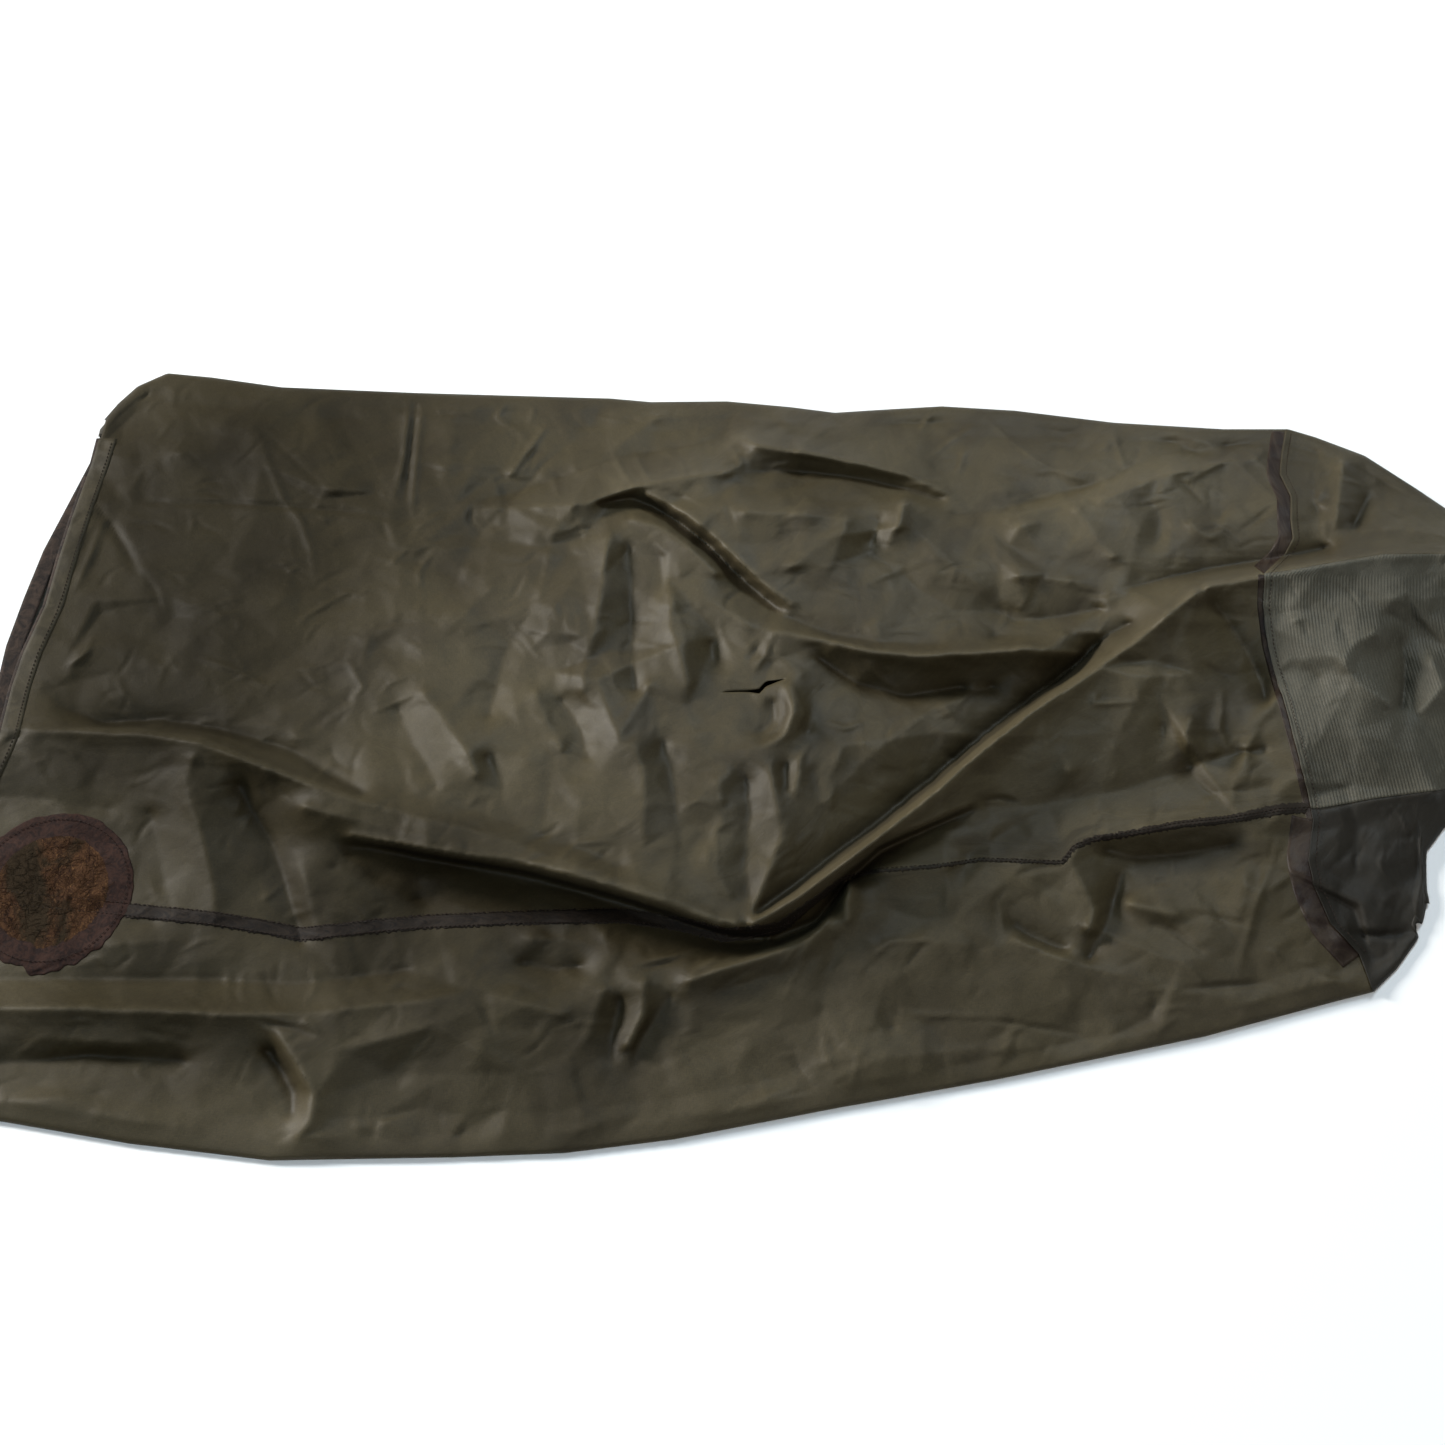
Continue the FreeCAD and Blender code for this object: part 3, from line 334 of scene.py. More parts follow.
# Smaller creases: (height in mm, reach in mm, points). They add to the folds above.
CREASES = [
    (1.6, 7, [(-0.475, 0.37), (-0.455, 0.32), (-0.43, 0.265), (-0.41, 0.24), (-0.395, 0.2), (-0.385, 0.155)]),
    (-1.2, 6, [(-0.475, 0.37), (-0.43, 0.325), (-0.385, 0.275), (-0.365, 0.255)]),
    (-1.8, 7, [(-0.58, 0.262), (-0.5, 0.263), (-0.42, 0.258), (-0.35, 0.25), (-0.29, 0.237)]),
    (2.2, 6, [(-0.305, 0.405), (-0.305, 0.33), (-0.312, 0.268)]),
    (1.8, 6, [(-0.29, 0.405), (-0.292, 0.32), (-0.29, 0.24)]),
    (-2.2, 7, [(-0.298, 0.4), (-0.299, 0.32), (-0.3, 0.26)]),
    (-2.4, 8, [(-0.64, 0.265), (-0.602, 0.215), (-0.575, 0.168)]),
    (2.4, 8, [(-0.622, 0.245), (-0.63, 0.2), (-0.64, 0.15)]),
    (2.6, 6, [(-0.15, 0.368), (-0.168, 0.335), (-0.19, 0.295)]),
    (1.6, 5, [(-0.196, 0.402), (-0.206, 0.38), (-0.172, 0.352)]),
    (2.4, 5, [(-0.075, 0.327), (-0.062, 0.3), (-0.052, 0.288)]),
    (2.2, 5, [(-0.052, 0.33), (-0.04, 0.3), (-0.03, 0.292)]), (1.8, 5, [(-0.14, 0.297), (-0.134, 0.272)]),
    (1.8, 5, [(-0.022, 0.335), (0.0, 0.318), (0.004, 0.302)]),
    (2.0, 6, [(0.05, 0.348), (0.066, 0.315), (0.045, 0.3)]),
    (-2.0, 6, [(-0.225, 0.262), (-0.228, 0.24), (-0.215, 0.222)]),
    (1.6, 5, [(0.335, 0.385), (0.36, 0.35), (0.39, 0.32), (0.42, 0.3), (0.442, 0.29)]),
    (1.8, 5, [(0.478, 0.362), (0.482, 0.33), (0.486, 0.308)]), (1.6, 5, [(0.312, 0.335), (0.303, 0.302)]),
    (1.8, 5, [(0.325, 0.368), (0.295, 0.345), (0.275, 0.325)]), (1.8, 5, [(0.278, 0.388), (0.265, 0.36)]),
    (1.8, 6, [(0.618, 0.338), (0.64, 0.31), (0.65, 0.285)]),
    (1.8, 6, [(0.615, 0.33), (0.58, 0.31), (0.552, 0.292)]),
    (-2.0, 6, [(0.54, 0.298), (0.56, 0.275), (0.568, 0.262)]),
    (-1.8, 6, [(0.645, 0.262), (0.622, 0.24), (0.604, 0.226)]),
    (2.2, 6, [(0.705, 0.29), (0.69, 0.265), (0.705, 0.255)]),
    (-2.0, 5, [(0.6, 0.215), (0.585, 0.232), (0.56, 0.226)]), (-2.6, 6, [(0.545, 0.058), (0.572, 0.04)]),
    (2.4, 6, [(0.435, 0.03), (0.425, 0.01), (0.47, 0.012)]),
    (2.2, 6, [(0.56, 0.026), (0.552, -0.02), (0.562, -0.052)]),
    (-3.4, 8, [(0.64, -0.246), (0.67, -0.25), (0.7, -0.249), (0.722, -0.244)]),
    (-1.8, 5, [(0.332, -0.186), (0.355, -0.177), (0.385, -0.176)]),
    (-2.2, 6, [(0.475, -0.24), (0.512, -0.272)]),
    (-2.0, 5, [(0.25, -0.335), (0.32, -0.341), (0.39, -0.353)]),
    (1.8, 6, [(0.212, -0.33), (0.29, -0.337), (0.32, -0.346)]),
    (2.0, 6, [(0.14, -0.345), (0.142, -0.368), (0.148, -0.39)]),
    (2.0, 6, [(0.186, -0.276), (0.205, -0.257), (0.24, -0.254)]),
    (-1.8, 5, [(0.22, -0.285), (0.232, -0.268), (0.242, -0.258)]),
    (-2.4, 6, [(0.482, -0.306), (0.52, -0.303), (0.57, -0.3)]), (2.0, 6, [(0.315, -0.225), (0.318, -0.25)]),
    (-1.6, 6, [(0.56, -0.24), (0.5, -0.225)]), (2.0, 7, [(0.59, -0.16), (0.56, -0.23), (0.54, -0.285)]),
    (-2.0, 6, [(-0.19, -0.31), (-0.18, -0.33), (-0.17, -0.352)]),
    (1.6, 5, [(-0.35, -0.283), (-0.342, -0.3), (-0.352, -0.322)]),
    (-1.6, 5, [(-0.395, -0.29), (-0.385, -0.31), (-0.376, -0.325)]),
    (1.4, 5, [(-0.43, -0.285), (-0.424, -0.318)]), (1.4, 5, [(-0.415, -0.29), (-0.412, -0.318)]),
    (-2.2, 5, [(-0.392, -0.34), (-0.36, -0.346), (-0.343, -0.353)]),
    (2.6, 5, [(-0.344, -0.345), (-0.352, -0.338), (-0.335, -0.35)]),
    (-1.8, 5, [(-0.04, -0.287), (0.0, -0.276), (0.025, -0.265)]),
    (2.2, 5, [(-0.038, -0.28), (0.005, -0.27), (0.03, -0.262)]),
    (2.0, 5, [(0.01, -0.292), (0.035, -0.276), (0.045, -0.264)]),
    (-1.8, 5, [(0.014, -0.282), (0.022, -0.272)]),
    (-1.6, 5, [(-0.15, -0.15), (-0.128, -0.14), (-0.115, -0.128)]),
    (1.8, 5, [(-0.118, -0.17), (-0.1, -0.15), (-0.06, -0.148)]),
    (1.8, 6, [(-0.5, 0.066), (-0.46, 0.05), (-0.425, 0.03)]),
    (1.6, 5, [(-0.345, 0.062), (-0.325, 0.03), (-0.34, 0.01)]),
    (1.6, 5, [(-0.265, 0.198), (-0.278, 0.175), (-0.276, 0.152)]),
    (1.4, 5, [(-0.35, 0.148), (-0.392, 0.118), (-0.4, 0.105)]), (-1.4, 5, [(-0.325, 0.24), (-0.312, 0.21)]),
    (1.6, 6, [(-0.616, 0.075), (-0.635, 0.055)]), (-2.0, 5, [(0.065, 0.15), (0.05, 0.138), (0.048, 0.125)]),
    (2.4, 5, [(0.098, 0.096), (0.09, 0.07), (0.078, 0.05)]), (-2.2, 5, [(0.082, 0.082), (0.072, 0.06)]),
    (2.0, 5, [(0.196, 0.062), (0.205, 0.045), (0.225, 0.025)]),
    (2.0, 5, [(0.118, 0.03), (0.128, 0.0), (0.118, -0.028)]),
    (-2.6, 4, [(0.103, 0.03), (0.11, 0.002), (0.101, -0.024), (0.08, -0.034)]),
    (1.8, 5, [(0.15, -0.012), (0.17, -0.02), (0.19, -0.012)]),
    (1.6, 6, [(0.115, -0.085), (0.15, -0.105), (0.195, -0.122)]),
    (2.2, 5, [(0.27, -0.055), (0.282, -0.068)]),
    (-2.4, 4, [(0.305, -0.102), (0.322, -0.099), (0.34, -0.104)]),
]

# ---- The upper layer's height, on a raster of the drawing level ----

CELL = 2 * MM
X_SPAN = (-0.990, 0.960)
Y_SPAN = (-0.520, 0.500)
COARSE_TO_FINE = (16, 8, 4, 2, 1)       # in cells
FADE = 7 * MM            # how much of a fold, at each end, is left to die away
ROUNDS = 220
EDGE_SWELL = 7 * MM      # how far the cloth stands up beside the outline
EDGE_REACH = 38 * MM


def run(points, step, ease=3):
    """Points a step apart along a polyline, its corners eased."""
    points = np.array(points, float)
    gone = np.concatenate([[0], np.cumsum(np.hypot(*np.diff(points[:, :2], axis=0).T))])
    where = np.linspace(0, gone[-1], max(int(gone[-1] / step), 2) + 1)
    line = np.stack([np.interp(where, gone, column) for column in points.T], axis=1)
    for _ in range(ease):
        line[1:-1] = (line[:-2] + 2 * line[1:-1] + line[2:]) / 4
    return line


def raster_axes(cell):
    columns = int(round((X_SPAN[1] - X_SPAN[0]) / cell)) + 1
    rows = int(round((Y_SPAN[1] - Y_SPAN[0]) / cell)) + 1
    return X_SPAN[0] + np.arange(columns) * cell, Y_SPAN[0] + np.arange(rows) * cell


def read(raster, cell, x, y):
    """The raster's value at (x, y), between its cells."""
    rows, columns = raster.shape
    across = np.clip((x - X_SPAN[0]) / cell, 0, columns - 1.001)
    up = np.clip((y - Y_SPAN[0]) / cell, 0, rows - 1.001)
    i, j = across.astype(int), up.astype(int)
    a, b = across - i, up - j
    return ((raster[j, i] * (1 - a) + raster[j, i + 1] * a) * (1 - b)
            + (raster[j + 1, i] * (1 - a) + raster[j + 1, i + 1] * a) * b)


def blur(raster, times):
    for _ in range(times):
        for axis in (0, 1):
            padded = np.concatenate([raster.take([0], axis), raster, raster.take([-1], axis)], axis)
            size = raster.shape[axis]
            parts = [padded.take(range(k, k + size), axis) for k in range(3)]
            raster = (parts[0] + 2 * parts[1] + parts[2]) / 4
    return raster


def broad_blur(raster, times):
    """A wide blur, worked out on every fourth cell."""
    x, y = np.meshgrid(*raster_axes(CELL))
    return read(blur(blur(raster, 4)[::4, ::4], times), 4 * CELL, x, y)


def pins(cell):
    """Where the height is given, and what it is there."""
    xs, ys = raster_axes(cell)
    total, count = np.zeros((len(ys), len(xs))), np.zeros((len(ys), len(xs)))
    for points in FOLDS.values():
        line = run(points, cell / 2)
        spare = int(FADE / (cell / 2))
        if len(line) > 5 * spare:
            line = line[spare:len(line) - spare]
        i = np.rint((line[:, 0] - X_SPAN[0]) / cell).astype(int)
        j = np.rint((line[:, 1] - Y_SPAN[0]) / cell).astype(int)
        np.add.at(total, (j, i), line[:, 2] * MM)
        np.add.at(count, (j, i), 1)
    x, y = np.meshgrid(xs, ys)
    outside = (y > far_edge(x)) | (y < near_edge(x)) | (x > foot_end(y))
    fixed = (count > 0) | outside
    return fixed, np.where(outside, EDGE_HEIGHT * MM, total / np.maximum(count, 1))


def stretched_height():
    """Cloth stretched like a skin between the folds."""
    height = None
    for times in COARSE_TO_FINE:
        cell = CELL * times
        fixed, value = pins(cell)
        if height is None:
            height = np.full(fixed.shape, value[fixed].mean())
        else:
            x, y = np.meshgrid(*raster_axes(cell))
            height = read(height, last, x, y)
        height[fixed] = value[fixed]
        for _ in range(ROUNDS):
            inner = (height[:-2, 1:-1] + height[2:, 1:-1] + height[1:-1, :-2] + height[1:-1, 2:]) / 4
            height[1:-1, 1:-1] = np.where(fixed[1:-1, 1:-1], value[1:-1, 1:-1], inner)
            height[0], height[-1] = height[1], height[-2]
            height[:, 0], height[:, -1] = height[:, 1], height[:, -2]
        last = cell
    return height


def add_crease(raster, tall, reach, points):
    """Adds a crease: a sharp fold with hollow sides, fading out at both ends."""
    line = run(points, 2 * MM)
    xs, ys = raster_axes(CELL)
    lowest, highest = line[:, :2].min(0) - reach, line[:, :2].max(0) + reach
    columns = slice(*np.searchsorted(xs, (lowest[0], highest[0])))
    rows = slice(*np.searchsorted(ys, (lowest[1], highest[1])))
    x, y = np.meshgrid(xs[columns], ys[rows])
    apart = np.hypot(x[..., None] - line[:, 0], y[..., None] - line[:, 1])
    nearest = apart.argmin(-1)
    fade = np.sin(np.pi * (nearest + 0.5) / len(line)) ** 0.6
    raster[rows, columns] += tall * fade * np.clip(1 - apart.min(-1) / reach, 0, 1) ** 1.6


def facets(spread, seed):
    """Flat three-sided facets between random points about this far apart, from -1 to 1."""
    random = np.random.default_rng(seed)
    xs, ys = raster_axes(CELL)
    across = int((X_SPAN[1] - X_SPAN[0]) / spread) + 3
    up = int((Y_SPAN[1] - Y_SPAN[0]) / spread) + 3
    points = np.stack(np.meshgrid(np.arange(across), np.arange(up)), -1).reshape(-1, 2) - 1.0
    points = points * spread + random.uniform(-0.48, 0.48, points.shape) * spread
    points += (X_SPAN[0] + spread / 2, Y_SPAN[0] + spread / 2)
    heights = random.uniform(-1, 1, len(points))
    corners, _, threes, *_ = delaunay_2d_cdt([Vector(p) for p in points], [], [], 0, 1e-6)
    raster = np.zeros((len(ys), len(xs)))
    for three in threes:
        a, b, c = (np.array(corners[k]) for k in three)
        low, high = np.minimum(np.minimum(a, b), c), np.maximum(np.maximum(a, b), c)
        columns = slice(*np.searchsorted(xs, (low[0], high[0] + 1e-9)))
        rows = slice(*np.searchsorted(ys, (low[1], high[1] + 1e-9)))
        x, y = np.meshgrid(xs[columns], ys[rows])
        whole = (b[0] - a[0]) * (c[1] - a[1]) - (c[0] - a[0]) * (b[1] - a[1])
        if not x.size or abs(whole) < 1e-12:
            continue
        v = ((x - a[0]) * (c[1] - a[1]) - (c[0] - a[0]) * (y - a[1])) / whole
        w = ((b[0] - a[0]) * (y - a[1]) - (x - a[0]) * (b[1] - a[1])) / whole
        inside = (v >= -1e-9) & (w >= -1e-9) & (v + w <= 1 + 1e-9)
        level = heights[three[0]] * (1 - v - w) + heights[three[1]] * v + heights[three[2]] * w
        raster[rows, columns] = np.where(inside, level, raster[rows, columns])
    return blur(raster, 1)


FACETS = ((72, 5.2, 11), (36, 1.8, 12), (19, 0.7, 13))      # (mm apart, mm tall, seed)
CRINKLES = 900
HIGHEST = 94 * MM
CREASE_GAIN = 0.75
RELIEF_GAIN = 0.42
FOLD_GAIN = 0.45
CRISP = 0.86       # share of the stretched skin's sharp folds that is kept


def upper_height():
    skin = stretched_height()
    height = CRISP * blur(skin, 1) + (1 - CRISP) * blur(skin, 14)
    x, y = np.meshgrid(*raster_axes(CELL))
    apart = np.minimum(np.minimum(far_edge(x) - y, y - near_edge(x)), foot_end(y) - x)
    share = np.clip(apart / EDGE_REACH, 0, 1)
    height += EDGE_SWELL * (np.sqrt(share) - share)
    for tall, reach, points in CREASES:
        add_crease(height, CREASE_GAIN * tall * MM, 1.2 * reach * MM, points)
    for _ in range(CRINKLES):
        start = np.array((RANDOM.uniform(-0.70, 0.88), RANDOM.uniform(-0.46, 0.43)))
        heading, turn = RANDOM.uniform(0, math.pi), RANDOM.normal(0, 0.5)
        length = RANDOM.uniform(14, 52) * MM
        middle = start + length / 2 * np.array((math.cos(heading), math.sin(heading)))
        end = middle + length / 2 * np.array((math.cos(heading + turn), math.sin(heading + turn)))
        tall = RANDOM.choice((-1, 1)) * RANDOM.uniform(0.2, 0.95) * MM
        reach = RANDOM.uniform(3, 7) * MM
        if far_edge(middle[0]) - 0.01 > middle[1] > near_edge(middle[0]) + 0.01:
            add_crease(height, tall, reach, [start, middle, end])
    settled = np.clip(share * 2, 0, 1)
    crumpled = 0.55 + 0.45 * np.clip((x + 0.42) / 0.20, 0, 1)      # the head end lies smoother
    for spread, tall, seed in FACETS:
        height += settled * crumpled * tall * MM * facets(spread * MM, seed)
    height += FOLD_GAIN * settled * (height - broad_blur(height, 20))
    height += RELIEF_GAIN * settled * (height - broad_blur(height, 4))
    return np.clip(height, 2.5 * MM, HIGHEST)


HEIGHT = upper_height()
RELIEF = HEIGHT - blur(HEIGHT, 14)


def seen_at(x, y, z):
    """The point at height z where the camera sees (x, y) of the drawing level."""
    share = (EYE[2] - z) / (EYE[2] - DRAWN_AT)
    x, y, z = np.broadcast_arrays(EYE[0] + (x - EYE[0]) * share, EYE[1] + (y - EYE[1]) * share, z)
    return np.stack([x, y, z], axis=-1)


def on_top(x, y, lift=0.0):
    """The upper layer's point and its outward direction, where the camera sees (x, y)."""
    reach = 1.6 * MM

    def at(x, y):
        return seen_at(x, y, read(HEIGHT, CELL, x, y))

    out = np.cross(at(x + reach, y) - at(x - reach, y), at(x, y + reach) - at(x, y - reach))
    out /= np.linalg.norm(out, axis=-1, keepdims=True)
    return at(x, y) + out * np.asarray(lift)[..., None], out


# ---- Meshes ----


def build(name, points, faces, flat=None, marks=None, smooth=True):
    """A mesh object from points and four-sided faces, flat being its cloth coordinates."""
    points, faces = np.asarray(points, float).reshape(-1, 3), np.asarray(faces, int).reshape(-1, 4)
    mesh = bpy.data.meshes.new(name)
    mesh.vertices.add(len(points))
    mesh.vertices.foreach_set("co", points.ravel())
    mesh.loops.add(faces.size)
    mesh.loops.foreach_set("vertex_index", faces.ravel())
    mesh.polygons.add(len(faces))
    mesh.polygons.foreach_set("loop_start", np.arange(0, faces.size, 4))
    mesh.update(calc_edges=True)
    mesh.validate()
    if flat is not None:
        layer = mesh.uv_layers.new(name="flat")
        layer.data.foreach_set("uv", np.asarray(flat, float).reshape(-1, 2)[faces.ravel()].ravel())
    for label, values in (marks or {}).items():
        attribute = mesh.attributes.new(label, "FLOAT", "POINT")
        attribute.data.foreach_set("value", np.asarray(values, float).ravel())
    mesh.polygons.foreach_set("use_smooth", [smooth] * len(mesh.polygons))
    piece = bpy.data.objects.new(name, mesh)
    bpy.context.collection.objects.link(piece)
    return piece


def grid_faces(rows, columns, start=0):
    index = start + np.arange(rows * columns).reshape(rows, columns)
    return np.stack([index[:-1, :-1], index[:-1, 1:], index[1:, 1:], index[1:, :-1]], -1).reshape(-1, 4)


def shell(name, top, under, flat, marks=None, hole=None):
    """A closed sheet from its two faces, each a grid of points.

    hole is a slit's (row, first, last column).
    """
    rows, columns = top.shape[:2]
    index = np.arange(rows * columns).reshape(rows, columns)
    quads = grid_faces(rows, columns)
    rims = [np.concatenate([index[0], index[1:, -1], index[-1, -2::-1], index[-2:0:-1, 0]])]
    if hole:
        row, first, last = hole
        quads = np.delete(quads, row * (columns - 1) + np.arange(first, last), axis=0)
        rims.append(np.concatenate([index[row + 1, first:last + 1], index[row, first:last + 1][::-1]]))
    sides = []
    for rim in rims:
        after = np.roll(rim, -1)
        sides.append(np.stack([rim, rim + index.size, after + index.size, after], -1))
    faces = np.concatenate([quads, quads[:, ::-1] + index.size, *sides])
    doubled = {label: np.concatenate([v.ravel(), v.ravel()]) for label, v in (marks or {}).items()}
    both = np.concatenate([flat.reshape(-1, 2), flat.reshape(-1, 2)])
    return build(name, np.concatenate([top.reshape(-1, 3), under.reshape(-1, 3)]), faces, both, doubled)


def cloth_lengths(points):
    """Cloth coordinates in metres: how far each point is along its row and its column."""
    along_row = np.linalg.norm(np.diff(points, axis=1), axis=-1)
    along_column = np.linalg.norm(np.diff(points, axis=0), axis=-1)
    u = np.concatenate([np.zeros((points.shape[0], 1)), np.cumsum(along_row, 1)], 1)
    v = np.concatenate([np.zeros((1, points.shape[1])), np.cumsum(along_column, 0)], 0)
    return np.stack([u + points[0, 0, 0], v + points[0, 0, 1]], -1)


def patchwork(left, right, near, far, columns, rows):
    """A grid of drawn points between four edges."""
    s, t = np.linspace(0, 1, columns)[None, :], np.linspace(0, 1, rows)[:, None]
    x, y = np.broadcast_arrays(-0.7 + 1.4 * s, 0.0 * t)
    for _ in range(14):
        y = near(x) * (1 - t) + far(x) * t
        x = left(y) * (1 - s) + right(y) * s
    return x, y


CLOTH_THICK = 0.6 * MM
TURN_UNDER = [(1.6, 4.0), (2.2, 2.9), (1.5, 1.8), (-1.0, 1.5), (-9.0, 1.5)]   # mm: (outwards, height)


def turned_under(x, y, side):
    """Rows of points that roll the cloth under itself along the outline."""
    edge_x, edge_y = (x[-1], y[-1]) if side > 0 else (x[0], y[0])
    along_x, along_y = np.gradient(edge_x), np.gradient(edge_y)
    for _ in range(12):
        along_x[1:-1] = (along_x[:-2] + 2 * along_x[1:-1] + along_x[2:]) / 4
        along_y[1:-1] = (along_y[:-2] + 2 * along_y[1:-1] + along_y[2:]) / 4
    far = side * MM / np.hypot(along_x, along_y)
    rows = []
    for out, z in TURN_UNDER:
        rows.append(seen_at(edge_x - along_y * far * out, edge_y + along_x * far * out, z * MM))
    return np.array(rows if side > 0 else rows[::-1])


TEAR = [(0.043, 0.024), (0.064, 0.025), (0.083, 0.025), (0.090, 0.034), (0.110, 0.040)]
TEAR_GAPE = [(0.0, 0.1), (0.12, 1.2), (0.45, 2.4), (0.62, 6.4), (0.72, 6.0), (0.88, 2.4), (1.0, 0.1)]


def torn(x, y):
    """Bends a panel's rows so that two of them are the tear's lips; gives the hole's row and columns."""
    start, end = TEAR[0], TEAR[-1]
    row = int(np.searchsorted(y[:, np.abs(x[0] - start[0]).argmin()], start[1])) - 1
    at_x = x[row]
    inside = np.flatnonzero((at_x > start[0]) & (at_x < end[0]))
    line_x, line_y = np.array(TEAR).T
    share = np.clip((at_x - start[0]) / (end[0] - start[0]), 0, 1)
    gape = np.interp(share, *np.array(TEAR_GAPE).T) * MM
    near_by = np.exp(-(np.maximum(start[0] - at_x, 0) + np.maximum(at_x - end[0], 0)) / (14 * MM))
    wanted = np.interp(at_x, line_x, line_y)
    rows = np.arange(len(y))[:, None]
    down = (wanted - gape / 2 - y[row]) * near_by
    up = (wanted + gape / 2 - y[row + 1]) * near_by
    below = np.clip(1 - (row - rows) / 16, 0, 1) * (rows <= row)
    above = np.clip(1 - (rows - row - 1) / 16, 0, 1) * (rows > row)
    return y + down * below + up * above, (row, inside[0], inside[-1])


# (x, y, reach, change of tone): spots of painted shade and painted light, where the cloth's colour is made
# darker or paler to stand in for how the light falls on it
PAINTED_SHADING_SPOTS = [(-0.50, 0.26, 0.27, -0.64), (-0.55, -0.05, 0.17, -0.38), (-0.28, -0.20, 0.12, -0.38),
         (-0.10, -0.36, 0.18, -0.30), (-0.50, -0.34, 0.14, -0.36), (0.24, -0.34, 0.14, -0.16),
         (0.48, 0.26, 0.14, 0.22), (0.05, 0.16, 0.15, 0.12), (0.62, -0.22, 0.08, -0.25),
         (-0.18, 0.05, 0.10, 0.12)]
DARKEST, PALEST = 0.4, 1.5


def painted_shading(x, y):
    """The painted shade and painted light there: a factor about 1 on the cloth's colour."""
    spots = [more * np.exp(-((x - a) ** 2 + (y - b) ** 2) / reach ** 2) for a, b, reach, more in PAINTED_SHADING_SPOTS]
    return np.clip(1 + sum(spots), DARKEST, PALEST)


def panel(name, left, right, near, far, columns, rows, turned=0, raise_by=None, tear=False):
    """One cut piece of the upper layer. turned is 1 or -1 where its far or near edge rolls under."""
    x, y = patchwork(left, right, near, far, columns, rows)
    hole = None
    if tear:
        y, hole = torn(x, y)
    raised = np.zeros_like(x) if raise_by is None else raise_by(x, y)
    top, out = on_top(x, y, raised)
    # the cloth's relief: raised ridges get a paler worn colour, hollows get painted shade
    worn_ridge_and_crease_shade = read(RELIEF, CELL, x, y) / MM
    # painted shade and painted light spots, carried to the cloth's material
    painted_shading_factor = painted_shading(x, y)
    if turned:
        roll = turned_under(x, y, turned)
        pieces = (top, roll) if turned > 0 else (roll, top)
        top = np.concatenate(pieces)
        e1, e2 = np.gradient(top, axis=1), np.gradient(top, axis=0)
        out = np.cross(e1, e2)
        out /= np.maximum(np.linalg.norm(out, axis=-1, keepdims=True), 1e-9)
        blank = np.zeros(roll.shape[:2])
        worn_ridge_and_crease_shade = np.concatenate((worn_ridge_and_crease_shade, blank) if turned > 0 else (blank, worn_ridge_and_crease_shade))
        painted_shading_factor = np.concatenate((painted_shading_factor, blank + painted_shading_factor[-1]) if turned > 0 else (blank + painted_shading_factor[0], painted_shading_factor))
    under = top - out * CLOTH_THICK
    return shell(name, top, under, cloth_lengths(top), {"relief": worn_ridge_and_crease_shade, "painted_shading": painted_shading_factor}, hole)


# ---- Sheets ----

FOOT_OVERLAP = 3 * MM


def foot_lift(x, y):
    """The foot's edge stands a little above the tape beside it."""
    return 2.2 * MM * np.exp(-np.maximum(x - cross_seam(y) + FOOT_OVERLAP, 0) / (9 * MM))


def foot_start(y):
    """The foot pieces' edge, over the tape of the cross seam."""
    return cross_seam(y) - FOOT_OVERLAP


RIB_PITCH = 3.4 * MM
RIB_TALL = 0.6 * MM


def rib_height(x, y):
    """Rows of raised ribs, across the foot, each a rounded bead."""
    phase = (x - cross_seam(y)) / RIB_PITCH
    return RIB_TALL * np.abs(np.sin(np.pi * phase)) ** 0.8


def ribbed_lift(x, y):
    return foot_lift(x, y) + rib_height(x, y)


def make_sheets():
    """The upper layer's pieces, by name."""
    pieces = (
        panel("upper_panel", upper_lip, cross_seam, long_seam, far_edge, 450, 250, turned=1, tear=True),
        panel("near_panel", upper_lip, cross_seam, near_edge, long_seam, 480, 92, turned=-1),
        panel("foot_upper_panel", foot_start, foot_end, ribs_far_edge, far_edge, 90, 62, turned=1,
              raise_by=foot_lift),
        panel("foot_ribs_sheet", foot_start, foot_end, long_seam, ribs_far_edge, 520, 100,
              raise_by=ribbed_lift),
        panel("foot_near_panel", foot_start, foot_end, near_edge, long_seam, 240, 62, turned=-1,
              raise_by=foot_lift),
    )
    return {piece.name: piece for piece in pieces}


LOWER_HEM_DEEP = 13 * MM
LOWER_HEM_END, LOWER_HEM_FADE = 0.350, 0.010       # y, and over what length the hem's depth fades out


def inside_lower_hem(y):
    """Where the ground layer starts at the mouth, inside its hem; past the hem's end it reaches the lip."""
    return lower_lip(y) + LOWER_HEM_DEEP * np.clip((LOWER_HEM_END - y) / LOWER_HEM_FADE, 0, 1)


def make_lower_sheet(name, left, right, columns, inset):
    """The layer on the ground, its margins hidden under the turned edges."""
    x, y = patchwork(left, right, lambda x: near_edge(x) + inset, lambda x: far_edge(x) - inset, columns, 90)
    ripple = 0.25 * MM * (np.sin(x * 61 + 3 * np.sin(y * 23)) + np.sin(y * 47 + 2 * np.sin(x * 31)))
    top = seen_at(x, y, 1.1 * MM + ripple)
    under = top.copy()
    under[..., 2] -= CLOTH_THICK
    flat = cloth_lengths(top)
    return shell(name, top, under, flat, {"relief": np.zeros(x.shape), "painted_shading": np.ones(x.shape)})


# ---- Tapes and stitches ----
# The long seam's tape, by x: how stained it is, and how far it reaches to either side, in metres.

